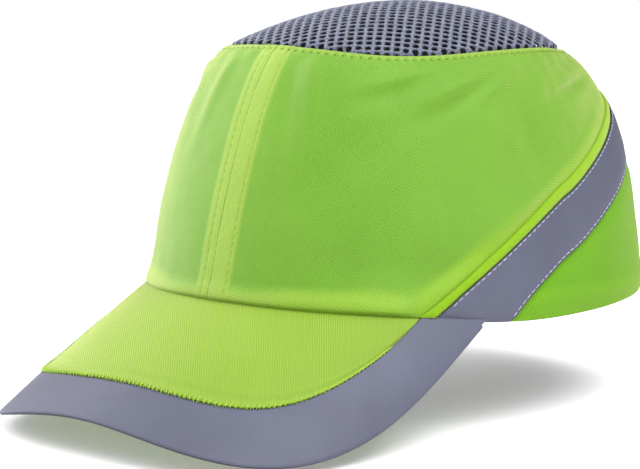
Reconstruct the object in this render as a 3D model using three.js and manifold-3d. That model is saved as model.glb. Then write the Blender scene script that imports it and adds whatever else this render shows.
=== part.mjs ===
// Bump cap: a fabric baseball cap with a stiff visor, a reflective tape that climbs each side, a mesh
// crown, a hook-and-loop strap across the rear opening, and a plastic shell insert with foam pads.
// Millimetres, +Z up. The visor points along -Y and the wearer's left is +X. The origin is the centre
// of the head opening, level with the hem at its two sides.
import * as THREE from 'three';
import { mergeVertices } from 'three/addons/utils/BufferGeometryUtils.js';
import Module from 'manifold-3d';

const wasm = await Module();
wasm.setup();

// ---------------------------------------------------------------- driving dimensions (mm, degrees)

const gap = 0.3; // clearance between neighbouring pieces
const quarter = Math.PI / 2;

// Crown: the hem outline is two half superellipses, front and rear, about centreY.
const crown = {
  centreY: 6.9,
  frontReach: 113.7,
  rearReach: 97.8,
  halfWidth: 88.5,
  hemRoundness: { front: 2.18, rear: 2.31 },
  seamRoundness: { front: 2.47, rear: 2.11 },
  // Bezier points from hem to mesh seam: [change of radius, share of the height]
  frontProfile: [[0, 0], [-9.3, 0.5], [-27.1, 0.94], [-39, 1]],
  sideProfile: [[0, 0], [-3.4, 0.4], [-11.8, 0.89], [-29, 1]],
  rearProfile: [[0, 0], [2.2, 0.4], [-3.9, 0.85], [-30.8, 1]],
  // cosine series round the cap: heights of the hem and of the seam under the mesh
  hemWave: [0, 3.09, 3.27, -0.42],
  seamWave: [99.84, 2.13, -0.36, 0.59, 0.82],
};

// Mesh dome: closes the crown above its seam.
const dome = { topY: 8, topZ: 117.6, roundness: 2.02 };

// Seams that climb from the hem beside the visor to the centre back: [angle, share of the height]
const bandFrontLine = [[55.2, 0], [83.3, 0.334], [130.4, 0.804], [180, 0.74]];
const bandRearLine = [[73.2, 0], [96.4, 0.313], [130.1, 0.506], [180, 0.565]];
const pipingLine = [[50.2, 0], [85.1, 0.337], [115.5, 0.786], [180, 0.78]];

// Visor: hangs from the hem over visorAngle each side and slopes down at visorSlope.
const visor = {
  angle: 67.8,
  slope: 28.2,
  length: 65.1,
  roundness: 3.1,
  flare: 0.069,
  arch: 6,
  endShare: 0.999, // the side edges stop just short of the point where the outline meets the hem
};
// Depth of each visor layer under the top face: [top, bottom]
const visorLayers = {
  trimTop: [0, 0.4],
  topCover: [0.7, 1.1],
  board: [1.4, 2.8],
  underCover: [3.1, 3.5],
  trimUnder: [3.8, 4.2],
};
const visorStart = 0.003; // the layers start this share of the way out from the hem
const trim = { start: 0.7, halfAngleShare: 0.775, underShare: 0.45, wall: 0.5 };

// Depth of each crown layer under the outer face: [outer, inner]
const layer = {
  band: [-0.45, 0.05],
  rearPanel: [0.35, 1.25],
  frontPanel: [0, 1],
  piping: [-1.1, 1.3],
  meshUnderPanel: [1.5, 2.7],
  mesh: [0.5, 1.9],
  seamTape: [1.55, 2],
  meshTape: [3, 3.5],
  sweatband: [2.3, 4.4],
  label: [4.7, 5],
  binding: [-0.5, 1.9],
  loopStrap: [2.4, 3.4],
  loopPatch: [1.6, 2.1],
  hookPatch: [0.8, 1.3],
  hookStrap: [-0.5, 0.5],
  shell: [6.3, 8.1],
};

const hemStart = 0.004; // panels start this share above the hem line, clear of the visor
const seamEnd = 0.997; // and end this share of the height below the top edge
const meshUnderlap = 0.945; // the mesh starts under the panels' top edge
const meshTapeRange = [0.93, 1.03];
const seamTapeHalfWidth = 8.5;
const sweatbandTop = 0.21;

// Rear opening: a half superellipse about the centre back, and the binding round it.
const opening = { halfAngle: 20.7, height: 0.34, roundness: 2.6 };
const bindingRim = { halfAngle: 24.2, height: 0.4 };
const panelArch = { halfAngle: 24.7, height: 0.408 };

// Rear strap: heights as shares of the crown's height, ends as angles from the centre back.
const strap = { bottom: 0.015, top: 0.205, sewnEnd: 30, overlapEnd: 14, flapEnd: -12, hinge: 16 };
const patchInset = 0.012;

// Shell insert and its foam pads
const shellRim = { front: 0.27, rear: 0.4, riseFrom: 105, riseTo: 150 }; // lower edge, raised at the rear
const ventSlot = { length: 26, width: 5, depth: 40 };
const sideVentAngles = [35, 62, 118, 145];
const topVentOffsets = [-24, 0, 24];
const padStandoff = 8.7;
const pads = {
  front: { from: -34, to: 34, bottom: 0.36, top: 0.62, thickness: 4 },
  rear: { from: 148, to: 212, bottom: 0.45, top: 0.7, thickness: 4 },
  left: { from: 76, to: 104, bottom: 0.44, top: 0.66, thickness: 3 },
};
const crownPad = { edge: 1.42, flatZ: 98 };

// ---------------------------------------------------------------- curves and surfaces

const radians = THREE.MathUtils.degToRad;

function bezier(points, s) {
  const r = 1 - s;
  const weights = [r * r * r, 3 * r * r * s, 3 * r * s * s, s * s * s];
  return [0, 1].map((axis) => weights.reduce((sum, weight, i) => sum + weight * points[i][axis], 0));
}

function cosineSeries(terms, angle) {
  return terms.reduce((sum, term, i) => sum + term * Math.cos(i * angle), 0);
}

function signedPower(value, power) {
  return Math.sign(value) * Math.abs(value) ** power;
}

// A point on the crown's outer face. angle is in degrees from the front towards +X; v is 0 at the hem,
// 1 at the mesh seam and 2 at the top of the mesh dome.
function crownPoint(angle, v) {
  const a = radians(angle);
  const t = Math.min(v, 1);
  const isFront = Math.cos(a) > 0;
  const [endShrink, endShare] = bezier(isFront ? crown.frontProfile : crown.rearProfile, t);
  const [sideShrink, sideShare] = bezier(crown.sideProfile, t);
  const side = isFront ? 'front' : 'rear';
  const hemRound = crown.hemRoundness[side];
  const power = 2 / (hemRound + (crown.seamRoundness[side] - hemRound) * t * t);
  const reach = (isFront ? crown.frontReach : crown.rearReach) + endShrink;
  const x = (crown.halfWidth + sideShrink) * signedPower(Math.sin(a), power);
  const y = crown.centreY - reach * signedPower(Math.cos(a), power);
  const hem = cosineSeries(crown.hemWave, a) - cosineSeries(crown.hemWave, quarter);
  const share = endShare * Math.cos(a) ** 2 + sideShare * Math.sin(a) ** 2;
  const point = new THREE.Vector3(x, y, hem + (cosineSeries(crown.seamWave, a) - hem) * share);
  if (v <= 1) return point;
  const k = 2 - v;
  point.x *= k;
  point.y = dome.topY + (point.y - dome.topY) * k;
  point.z += (dome.topZ - point.z) * (1 - k ** dome.roundness);
  return point;
}

// The same point moved inwards by depth, square to the surface.
function crownLayerPoint(angle, v, depth) {
  const point = crownPoint(angle, v);
  if (v > 1.999) return point.setZ(point.z - depth);
  const step = 0.004;
  const along = crownPoint(angle + 0.2, v).sub(crownPoint(angle - 0.2, v));
  const up = crownPoint(angle, Math.min(v + step, 2)).sub(crownPoint(angle, Math.max(v - step, 0)));
  const inward = up.cross(along).normalize();
  return point.addScaledVector(inward, depth);
}

// Height share of a climbing seam at an angle: the Bezier is solved by halving.
function lineHeight(line, angle) {
  if (angle <= line[0][0]) return 0;
  let low = 0;
  let high = 1;
  for (let i = 0; i < 30; i += 1) {
    const middle = (low + high) / 2;
    if (bezier(line, middle)[0] < angle) low = middle;
    else high = middle;
  }
  return bezier(line, low)[1];
}

// Height share of the rear opening's edge at an angle from the centre back.
function archHeight(shape, fromBack) {
  const share = Math.min(Math.abs(fromBack) / shape.halfAngle, 1);
  return shape.height * (1 - share ** opening.roundness) ** (1 / opening.roundness);
}

// A point on the visor's top face. u runs -1 to 1 across it, and run is the distance forward of the hem.
function visorSurface(u, run) {
  const inner = crownPoint(visor.angle * u, 0);
  const share = Math.abs(inner.x) / crownPoint(visor.angle, 0).x;
  const runShare = run / visor.length;
  return new THREE.Vector3(
    inner.x * (1 + visor.flare * runShare),
    inner.y - run,
    inner.z - run * Math.tan(radians(visor.slope)) - visor.arch * (runShare * share) ** 2,
  );
}

// How far forward of the hem the visor's outer edge is.
function visorRun(u) {
  const inner = crownPoint(visor.angle * u, 0);
  const end = crownPoint(visor.angle, 0);
  const share = Math.min(Math.abs(inner.x) / end.x, 1);
  const bow = (1 - share ** visor.roundness) ** (1 / visor.roundness);
  return inner.y - end.y + (end.y - crownPoint(0, 0).y + visor.length) * bow;
}

// A point depth below the top face and beyond the outer edge by outward. w is 0 at the hem, 1 at the edge.
function visorLayerPoint(u, w, depth, outward = 0) {
  const step = 0.004;
  const run = visorRun(u) * w;
  const point = visorSurface(u, run);
  const across = visorSurface(u + step, run).sub(visorSurface(u - step, run));
  const along = visorSurface(u, run + 1).sub(visorSurface(u, run - 1));
  const down = along.cross(across).normalize();
  if (down.z > 0) down.negate();
  point.addScaledVector(down, depth);
  if (outward === 0) return point;
  const [low, high] = [Math.max(u - step, -visor.endShare), Math.min(u + step, visor.endShare)];
  const rim = visorSurface(high, visorRun(high)).sub(visorSurface(low, visorRun(low)));
  return point.addScaledVector(down.cross(rim).normalize(), outward);
}

// ---------------------------------------------------------------- solids from rows of points

// Skins a closed body over a row of sections. A section is two rows of points, one on each face of the
// body, with the same number of points in both. A ring joins its last section to its first; otherwise
// the two end sections are capped.
function loft(sections, isRing = false) {
  const rows = sections[0].outer.length;
  const size = 2 * rows;
  const points = sections.flatMap(({ outer, inner }) => [...outer, ...[...inner].reverse()]);
  const positions = points.flatMap((point) => [point.x, point.y, point.z]);
  const index = [];
  const addQuad = (a, b, c, d) => index.push(a, b, c, a, c, d);
  const spans = isRing ? sections.length : sections.length - 1;
  for (let i = 0; i < spans; i += 1) {
    const here = i * size;
    const next = ((i + 1) % sections.length) * size;
    for (let j = 0; j < size; j += 1) {
      const k = (j + 1) % size;
      addQuad(here + j, next + j, next + k, here + k);
    }
  }
  if (!isRing) {
    const last = (sections.length - 1) * size;
    for (let j = 0; j < rows - 1; j += 1) {
      const [outerLow, outerHigh, innerHigh, innerLow] = [j, j + 1, size - 2 - j, size - 1 - j];
      addQuad(outerLow, outerHigh, innerHigh, innerLow);
      addQuad(last + outerLow, last + innerLow, last + innerHigh, last + outerHigh);
    }
  }
  return closedGeometry(positions, index);
}

// Merges shared points, drops empty triangles and turns the faces outwards.
function closedGeometry(positions, index) {
  const raw = new THREE.BufferGeometry();
  raw.setAttribute('position', new THREE.Float32BufferAttribute(positions, 3));
  raw.setIndex(index);
  const merged = mergeVertices(raw, 1e-3);
  const triangles = [];
  const old = merged.index.array;
  for (let i = 0; i < old.length; i += 3) {
    const [a, b, c] = [old[i], old[i + 1], old[i + 2]];
    if (a !== b && b !== c && c !== a) triangles.push(a, b, c);
  }
  if (signedVolume(merged.attributes.position, triangles) < 0) triangles.reverse();
  merged.setIndex(triangles);
  merged.computeVertexNormals();
  return merged;
}

function signedVolume(position, triangles) {
  const corners = [0, 1, 2].map(() => new THREE.Vector3());
  let volume = 0;
  for (let i = 0; i < triangles.length; i += 3) {
    corners.forEach((corner, n) => corner.fromBufferAttribute(position, triangles[i + n]));
    volume += corners[0].dot(corners[1].clone().cross(corners[2])) / 6;
  }
  return volume;
}

function spread(from, to, count) {
  return Array.from({ length: count + 1 }, (_, i) => from + ((to - from) * i) / count);
}

// A layer of the crown: columns are angles, and rangeAt(angle) gives its lower and upper edge.
// bulgeAt lifts the outer face by an amount that varies over the rows, such as a bead's round back.
function crownLayer(angles, rangeAt, rows, [outerDepth, innerDepth], bulgeAt = () => 0) {
  const shares = spread(0, 1, rows);
  return loft(angles.map((angle) => {
    const [low, high] = rangeAt(angle);
    const heights = shares.map((s) => low + (high - low) * s);
    return {
      outer: heights.map((v, i) => crownLayerPoint(angle, v, outerDepth - bulgeAt(shares[i]))),
      inner: heights.map((v) => crownLayerPoint(angle, v, innerDepth)),
    };
  }));
}

// A layer that runs right round the crown; one whose rows end at 2 closes over the top.
function crownRing(columns, heightsAt, depthsAt) {
  const angles = spread(0, 360, columns).slice(0, -1);
  return loft(angles.map((angle) => ({
    outer: heightsAt(angle).map((v) => crownLayerPoint(angle, v, depthsAt(v)[0])),
    inner: heightsAt(angle).map((v) => crownLayerPoint(angle, v, depthsAt(v)[1])),
  })), true);
}

function visorLayer(rows, [top, bottom]) {
  const widths = spread(visorStart, 1, rows);
  return loft(visorColumns().map((u) => ({
    outer: widths.map((w) => visorLayerPoint(u, w, top)),
    inner: widths.map((w) => visorLayerPoint(u, w, bottom)),
  })));
}

// Columns across the visor, closer together towards its two ends.
function visorColumns() {
  const turns = spread(-1, 1, 28).map((share) => Math.sin(share * quarter));
  return turns.map((u) => u * visor.endShare);
}

function mirrored(geometry) {
  const copy = geometry.clone();
  copy.scale(-1, 1, 1);
  return closedGeometry([...copy.attributes.position.array], [...copy.index.array]);
}

function toManifold(geometry) {
  const bare = geometry.clone();
  bare.deleteAttribute('normal');
  bare.deleteAttribute('uv');
  const merged = mergeVertices(bare, 1e-3);
  return new wasm.Manifold(new wasm.Mesh({
    numProp: 3,
    vertProperties: new Float32Array(merged.attributes.position.array),
    triVerts: new Uint32Array(merged.index.array),
  }));
}

function fromManifold(solid) {
  const { vertProperties, triVerts } = solid.getMesh();
  return closedGeometry([...vertProperties], [...triVerts]);
}

// ---------------------------------------------------------------- materials

function finish(color, roughness, metalness = 0) {
  return () => new THREE.MeshStandardMaterial({ color, roughness, metalness });
}

const hiVisFabric = finish(0x8cc84b, 0.85);
const innerFabric = finish(0x9bcf5a, 0.9);
const reflective = finish(0x85889c, 0.45, 0.3);
const greyMesh = finish(0x5b5f6e, 0.9);
const stiffener = finish(0xd8d8d2, 0.6);
const towelling = finish(0x30333a, 0.95);
const webbing = finish(0x24262b, 0.9);
const moulding = finish(0x17181b, 0.4);
const foam = finish(0x3c3e44, 0.95);
const labelCloth = finish(0xf0f0ec, 0.8);

const cap = new THREE.Group();

function addPiece(name, geometry, material) {
  const mesh = new THREE.Mesh(geometry, material());
  mesh.name = name;
  cap.add(mesh);
}

// A piece of the wearer's left side and its mirror image on the right.
function addPair(name, geometry, material) {
  addPiece(`left_${name}`, geometry, material);
  addPiece(`right_${name}`, mirrored(geometry), material);
}

// ---------------------------------------------------------------- fabric crown

const seamGapAngle = 0.1; // half the gap at the centre seams, in degrees
const edgeGap = 0.004; // half the gap at a climbing seam, as a share of the height

// Columns from one angle to 180 degrees that include the angle where a climbing seam leaves the hem.
function columnsPast(start, lineStart, before, after) {
  const climbing = spread(lineStart, 180 - seamGapAngle, after);
  if (before === 0) return climbing;
  return [...spread(start, lineStart, before).slice(0, -1), ...climbing];
}

function frontPanel() {
  const angles = columnsPast(seamGapAngle, pipingLine[0][0], 7, 19);
  const rangeAt = (angle) => [Math.max(hemStart, lineHeight(pipingLine, angle) + edgeGap), seamEnd];
  return crownLayer(angles, rangeAt, 8, layer.frontPanel);
}

function rearPanel() {
  const start = bandFrontLine[0][0] + 1.5;
  const archStart = 180 - panelArch.halfAngle;
  const besideArch = spread(start, archStart, 13).slice(0, -1);
  const overArch = spread(0, 1, 8).map((s) => 180 - panelArch.halfAngle * Math.cos(s * quarter));
  overArch[overArch.length - 1] = 180 - seamGapAngle;
  const rangeAt = (angle) => {
    const low = Math.max(hemStart, archHeight(panelArch, 180 - angle));
    return [low, lineHeight(bandFrontLine, angle) - edgeGap];
  };
  return crownLayer([...besideArch, ...overArch], rangeAt, 3, layer.rearPanel);
}

function reflectiveBand() {
  const angles = [...spread(bandFrontLine[0][0] + 1.5, bandRearLine[0][0], 4).slice(0, -1),
    ...columnsPast(0, bandRearLine[0][0], 0, 16)];
  const rangeAt = (angle) => [
    Math.max(hemStart, lineHeight(bandRearLine, angle)),
    lineHeight(bandFrontLine, angle) - edgeGap,
  ];
  return crownLayer(angles, rangeAt, 2, layer.band);
}

// Filled piping in the seam between the front panel and the rear panel, with a rounded back.
function piping() {
  const flatFace = 0.2;
  const angles = columnsPast(0, pipingLine[0][0] + 1.5, 0, 24);
  const rangeAt = (angle) => [
    Math.max(hemStart, lineHeight(bandFrontLine, angle) + edgeGap),
    lineHeight(pipingLine, angle) - edgeGap,
  ];
  const bulgeAt = (s) => -layer.piping[0] * (Math.sqrt(Math.max(0, 1 - (2 * s - 1) ** 2)));
  return crownLayer(angles, rangeAt, 4, [flatFace, layer.piping[1]], bulgeAt);
}

// Flat tape sewn over the inside of a centre seam: halfWidth is in mm, at the crown's own curve.
function seamTape(centreAngle, bottom, top) {
  const halfAngleAt = THREE.MathUtils.radToDeg(seamTapeHalfWidth / crown.frontReach);
  const angles = spread(centreAngle - halfAngleAt, centreAngle + halfAngleAt, 4);
  return crownLayer(angles, () => [bottom, top], 10, layer.seamTape);
}

function crownMesh() {
  const heights = [meshUnderlap, 0.975, 1.005, 1.06, 1.2, 1.4, 1.6, 1.8, 2];
  return crownRing(40, () => heights, (v) => (v < 1.02 ? layer.meshUnderPanel : layer.mesh));
}

function meshTape() {
  const [low, high] = meshTapeRange;
  return crownRing(40, () => [low, 1, high], () => layer.meshTape);
}

addPair('front_panel', frontPanel(), hiVisFabric);
addPair('rear_panel', rearPanel(), hiVisFabric);
addPair('piping', piping(), hiVisFabric);
addPair('reflective_band', reflectiveBand(), reflective);
addPiece('front_seam_tape', seamTape(0, 0.31, 0.92), innerFabric);
addPiece('rear_seam_tape', seamTape(180, 0.42, 0.92), innerFabric);
addPiece('crown_mesh', crownMesh(), greyMesh);
addPiece('mesh_seam_tape', meshTape(), innerFabric);

// ---------------------------------------------------------------- visor

function trimStartAt(u) {
  const share = Math.min(Math.abs(u) / trim.halfAngleShare, 1);
  return trim.start * Math.sqrt(1 - share ** 6);
}

// Reflective fabric folded round the visor's outer edge: a wide leg on top and a narrow one below.
function visorTrim() {
  const row = (u, from, to, count, depth) => spread(from, to, count).map((w) => visorLayerPoint(u, w, depth));
  return loft(visorColumns().map((u) => {
    const start = trimStartAt(u);
    const under = 1 - trim.underShare * (1 - start);
    const wrap = (top, bottom, outward) => [
      ...row(u, start, 1, 4, top).slice(0, -1),
      visorLayerPoint(u, 1, top, outward),
      visorLayerPoint(u, 1, bottom, outward),
      ...row(u, 1, under, 2, bottom).slice(1),
    ];
    return {
      outer: wrap(visorLayers.trimTop[0], visorLayers.trimUnder[1], gap + trim.wall),
      inner: wrap(visorLayers.trimTop[1], visorLayers.trimUnder[0], gap),
    };
  }));
}

addPiece('visor_top_cover', visorLayer(4, visorLayers.topCover), hiVisFabric);
addPiece('visor_board', visorLayer(4, visorLayers.board), stiffener);
addPiece('visor_under_cover', visorLayer(4, visorLayers.underCover), hiVisFabric);
addPiece('visor_reflective_trim', visorTrim(), reflective);

// ---------------------------------------------------------------- sweatband, label, rear opening

function sweatband() {
  const end = 180 - strap.sewnEnd - 1;
  return crownLayer(spread(-end, end, 44), () => [hemStart, sweatbandTop], 2, layer.sweatband);
}

function sizeLabel() {
  return crownLayer(spread(128, 142, 3), () => [0.05, 0.24], 2, layer.label);
}

// Folded tape round the rear opening: it fills the ring between the opening and the rear panels.
function openingBinding() {
  const [outerDepth, innerDepth] = layer.binding;
  const power = 2 / opening.roundness;
  const point = (shape, turn, depth) => {
    const fromBack = shape.halfAngle * signedPower(Math.cos(turn), power);
    const height = Math.max(hemStart, shape.height * Math.abs(Math.sin(turn)) ** power);
    return crownLayerPoint(180 - fromBack, height, depth);
  };
  return loft(spread(0, Math.PI, 22).map((turn) => ({
    outer: [point(opening, turn, outerDepth), point(bindingRim, turn, outerDepth)],
    inner: [point(opening, turn, innerDepth), point(bindingRim, turn, innerDepth)],
  })));
}

// A length of strap across the rear opening, between two angles from the centre back (+ is the left).
function strapPiece(from, to, columns, depths, inset = 0) {
  const angles = spread(180 - from, 180 - to, columns);
  return crownLayer(angles, () => [strap.bottom + inset, strap.top - inset], 2, depths);
}

addPiece('sweatband', sweatband(), towelling);
addPiece('size_label', sizeLabel(), labelCloth);
addPiece('rear_opening_binding', openingBinding(), hiVisFabric);
addPiece('loop_strap', strapPiece(-strap.sewnEnd, strap.overlapEnd, 16, layer.loopStrap), webbing);
addPiece('loop_patch', strapPiece(strap.flapEnd, strap.overlapEnd, 10, layer.loopPatch, patchInset), webbing);
addPiece('hook_strap_root', strapPiece(strap.hinge + 1.5, strap.sewnEnd, 5, layer.loopStrap), webbing);
addPiece('hook_strap', strapPiece(strap.flapEnd, strap.hinge, 12, layer.hookStrap), webbing);
addPiece('hook_patch', strapPiece(strap.flapEnd, strap.overlapEnd - 4, 9, layer.hookPatch, patchInset), webbing);

// ---------------------------------------------------------------- shell insert and pads

function ventPrism(position, direction, lengthAxis) {
  const shape = new THREE.Shape();
  const halfStraight = (ventSlot.length - ventSlot.width) / 2;
  shape.absarc(halfStraight, 0, ventSlot.width / 2, -quarter, quarter);
  shape.absarc(-halfStraight, 0, ventSlot.width / 2, quarter, 3 * quarter);
  const prism = new THREE.ExtrudeGeometry(shape, {
    depth: ventSlot.depth,
    bevelEnabled: false,
    curveSegments: 3,
  });
  prism.translate(0, 0, -ventSlot.depth / 2);
  const zAxis = direction.clone().normalize();
  const yAxis = zAxis.clone().cross(lengthAxis).normalize();
  const xAxis = yAxis.clone().cross(zAxis);
  prism.applyMatrix4(new THREE.Matrix4().makeBasis(xAxis, yAxis, zAxis).setPosition(position));
  return toManifold(prism);
}

// Thin dome that follows the crown at a constant depth, with vent slots through its sides and top.
function bumpShell() {
  const heights = [0.53, 0.66, 0.78, 0.9, 1, 1.18, 1.42, 1.7, 2];
  const heightsAt = (angle) => {
    const fromFront = Math.min(angle, 360 - angle);
    const rise = THREE.MathUtils.smoothstep(fromFront, shellRim.riseFrom, shellRim.riseTo);
    const rim = THREE.MathUtils.lerp(shellRim.front, shellRim.rear, rise);
    return [rim, (rim + heights[0]) / 2, ...heights];
  };
  let solid = toManifold(crownRing(36, heightsAt, () => layer.shell));
  const up = new THREE.Vector3(0, 0, 1);
  const depth = (layer.shell[0] + layer.shell[1]) / 2;
  for (const angle of sideVentAngles) {
    for (const side of [-1, 1]) {
      const centre = crownLayerPoint(angle * side, 0.74, depth);
      const outward = crownPoint(angle * side, 0.74).sub(centre);
      solid = solid.subtract(ventPrism(centre, outward, up));
    }
  }
  for (const offset of topVentOffsets) {
    for (const side of [-1, 1]) {
      const centre = new THREE.Vector3(side * 40, dome.topY + offset, 100);
      solid = solid.subtract(ventPrism(centre, up, new THREE.Vector3(1, 0, 0)));
    }
  }
  return fromManifold(solid);
}

function foamPad({ from, to, bottom, top, thickness }) {
  const depths = [padStandoff, padStandoff + thickness];
  return crownLayer(spread(from, to, 9), () => [bottom, top], 3, depths);
}

// Pad under the middle of the shell: its top follows the shell and its underside is flat.
function crownFoamPad() {
  const heights = [crownPad.edge, 1.6, 1.8, 2];
  const sections = spread(0, 360, 32).slice(0, -1).map((angle) => {
    const outer = heights.map((v) => crownLayerPoint(angle, v, padStandoff));
    return { outer, inner: outer.map((point) => point.clone().setZ(crownPad.flatZ)) };
  });
  return loft(sections, true);
}

addPiece('bump_shell', bumpShell(), moulding);
addPiece('crown_foam_pad', crownFoamPad(), foam);
addPiece('front_foam_pad', foamPad(pads.front), foam);
addPiece('rear_foam_pad', foamPad(pads.rear), foam);
addPair('foam_pad', foamPad(pads.left), foam);

export default cap;
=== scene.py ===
import math
from types import SimpleNamespace

import bmesh
import bpy
import numpy as np
from mathutils import Matrix, Vector


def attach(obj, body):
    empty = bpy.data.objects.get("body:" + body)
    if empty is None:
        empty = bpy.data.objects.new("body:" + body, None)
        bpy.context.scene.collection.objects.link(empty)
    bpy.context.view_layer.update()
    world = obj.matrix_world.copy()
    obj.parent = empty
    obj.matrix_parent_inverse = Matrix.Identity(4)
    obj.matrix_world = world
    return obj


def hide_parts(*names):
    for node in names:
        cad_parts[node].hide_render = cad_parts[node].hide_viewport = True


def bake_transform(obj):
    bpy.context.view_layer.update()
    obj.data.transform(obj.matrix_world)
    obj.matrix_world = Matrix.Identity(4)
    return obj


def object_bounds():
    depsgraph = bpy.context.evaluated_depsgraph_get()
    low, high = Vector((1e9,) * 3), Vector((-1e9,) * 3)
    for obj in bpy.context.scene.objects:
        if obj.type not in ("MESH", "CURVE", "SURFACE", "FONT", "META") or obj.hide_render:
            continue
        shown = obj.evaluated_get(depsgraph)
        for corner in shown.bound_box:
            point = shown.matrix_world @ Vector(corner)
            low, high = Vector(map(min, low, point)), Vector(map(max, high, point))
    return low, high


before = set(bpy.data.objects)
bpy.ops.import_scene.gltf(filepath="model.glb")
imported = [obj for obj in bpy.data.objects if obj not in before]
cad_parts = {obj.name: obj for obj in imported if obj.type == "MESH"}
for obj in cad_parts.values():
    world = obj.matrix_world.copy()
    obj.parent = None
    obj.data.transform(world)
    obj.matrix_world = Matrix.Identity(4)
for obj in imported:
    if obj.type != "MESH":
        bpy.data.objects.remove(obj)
cad_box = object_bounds()

# ------------------------------------------------------------------ dimensions, as in the CAD

# Lengths are in mm and angles in degrees. Heights on the crown are shares, 0 at the hem and 1 at the mesh.

MM = 0.001

CENTRE_Y = 6.9
FRONT_REACH = 113.7
REAR_REACH = 97.8
HALF_WIDTH = 88.5
HEM_ROUNDNESS = (2.18, 2.31)  # front, rear
SEAM_ROUNDNESS = (2.47, 2.11)
FRONT_PROFILE = [(0, 0), (-9.3, 0.5), (-27.1, 0.94), (-39, 1)]
SIDE_PROFILE = [(0, 0), (-3.4, 0.4), (-11.8, 0.89), (-29, 1)]
REAR_PROFILE = [(0, 0), (2.2, 0.4), (-3.9, 0.85), (-30.8, 1)]
HEM_WAVE = (0, 3.09, 3.27, -0.42)
SEAM_WAVE = (99.84, 2.13, -0.36, 0.59, 0.82)
DOME_Y, DOME_Z, DOME_ROUNDNESS = 8, 117.6, 2.02

BAND_FRONT_LINE = [(55.2, 0), (83.3, 0.334), (130.4, 0.804), (180, 0.74)]
BAND_REAR_LINE = [(73.2, 0), (96.4, 0.313), (130.1, 0.506), (180, 0.565)]
PIPING_LINE = [(50.2, 0), (85.1, 0.337), (115.5, 0.786), (180, 0.78)]

VISOR_ANGLE, VISOR_SLOPE, VISOR_LENGTH = 67.8, 28.2, 65.1
VISOR_ROUNDNESS, VISOR_FLARE, VISOR_ARCH, VISOR_END = 3.1, 0.069, 6, 0.99999
VISOR_RIGHT_RISE = 0.75
TRIM_START, TRIM_HALF_ANGLE_SHARE, TRIM_UNDER_SHARE = 0.7, 0.775, 0.45

HEM_START = 0.004
SEAM_END = 0.997
EDGE_GAP = 0.004
SWEATBAND_TOP = 0.21
SWEATBAND_DEPTHS = (2.3, 4.4)
SWEATBAND_STITCH = 3.5  # mm under its top edge
SEAM_TAPE_HALF = 8.5
MESH_TAPE_WAVES = 60
STRAP_DEPTHS = (2.4, 3.4)
PATCH_INSET = 0.012
STRAP_BOX_ANGLE = 27.2  # from the centre back to the middle of the stitches that hold a strap
SIDE_NOISE_SHIFT = 400  # mm between the noise of the cap's two sides
OPENING = SimpleNamespace(half_angle=20.7, height=0.34)
BINDING_RIM = SimpleNamespace(half_angle=24.2, height=0.4)
PANEL_ARCH = SimpleNamespace(half_angle=23.9, height=0.397)
ARCH_ROUNDNESS = 2.6
STRAP = SimpleNamespace(bottom=0.015, top=0.205, sewn=30, overlap=14, flap=-12, hinge=16)

# ------------------------------------------------------------------ curves and surfaces


def bezier(points, s):
    p = np.array(points, float)
    s = np.asarray(s, float)[..., None]
    r = 1 - s
    made = r**3 * p[0] + 3 * r * r * s * p[1] + 3 * r * s * s * p[2] + s**3 * p[3]
    return made[..., 0], made[..., 1]


def cosine_series(terms, a):
    return sum(term * np.cos(i * a) for i, term in enumerate(terms))


def signed_power(value, power):
    return np.sign(value) * np.abs(value) ** power


def smooth(x, low, high):
    t = np.clip((x - low) / (high - low), 0, 1)
    return t * t * (3 - 2 * t)


def bump(x, centre, half):
    return np.where(np.abs(x - centre) < half, np.cos((x - centre) / half * math.pi / 2) ** 2, 0)


def bell(x, centre, width):
    return np.exp(-(((x - centre) / width) ** 2))


def unit(vectors):
    return vectors / np.maximum(np.linalg.norm(vectors, axis=-1, keepdims=True), 1e-12)


def lengths_along(points):
    """Distance from the first row of points to each row, in every column."""
    steps = np.linalg.norm(np.diff(points, axis=0), axis=-1)
    return np.concatenate([np.zeros_like(steps[:1]), np.cumsum(steps, axis=0)])


def crown_point(angle, v):
    """Points of the crown's outer face. angle is from the front towards +X; v is 0 at the hem, 1 at the mesh
    seam and 2 at the top of the dome."""
    angle, v = np.broadcast_arrays(np.asarray(angle, float), np.asarray(v, float))
    a = np.radians(angle)
    t = np.minimum(v, 1)
    front = np.cos(a) > 0
    front_shrink, front_share = bezier(FRONT_PROFILE, t)
    rear_shrink, rear_share = bezier(REAR_PROFILE, t)
    side_shrink, side_share = bezier(SIDE_PROFILE, t)
    hem_round = np.where(front, *HEM_ROUNDNESS)
    seam_round = np.where(front, *SEAM_ROUNDNESS)
    power = 2 / (hem_round + (seam_round - hem_round) * t * t)
    reach = np.where(front, FRONT_REACH + front_shrink, REAR_REACH + rear_shrink)
    x = (HALF_WIDTH + side_shrink) * signed_power(np.sin(a), power)
    y = CENTRE_Y - reach * signed_power(np.cos(a), power)
    hem = cosine_series(HEM_WAVE, a) - cosine_series(HEM_WAVE, math.pi / 2)
    end_share = np.where(front, front_share, rear_share)
    share = end_share * np.cos(a) ** 2 + side_share * np.sin(a) ** 2
    z = hem + (cosine_series(SEAM_WAVE, a) - hem) * share
    k = np.where(v > 1, 2 - v, 1.0)
    x = x * k
    y = np.where(v > 1, DOME_Y + (y - DOME_Y) * k, y)
    z = np.where(v > 1, z + (DOME_Z - z) * (1 - k**DOME_ROUNDNESS), z)
    return np.stack([x, y, z], -1)


def crown_inward(angle, v):
    angle, v = np.broadcast_arrays(np.asarray(angle, float), np.asarray(v, float))
    along = crown_point(angle + 0.2, v) - crown_point(angle - 0.2, v)
    up = crown_point(angle, np.minimum(v + 0.004, 2)) - crown_point(angle, np.maximum(v - 0.004, 0))
    inward = unit(np.cross(up, along))
    return np.where((v > 1.999)[..., None], (0, 0, -1), inward)


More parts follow.
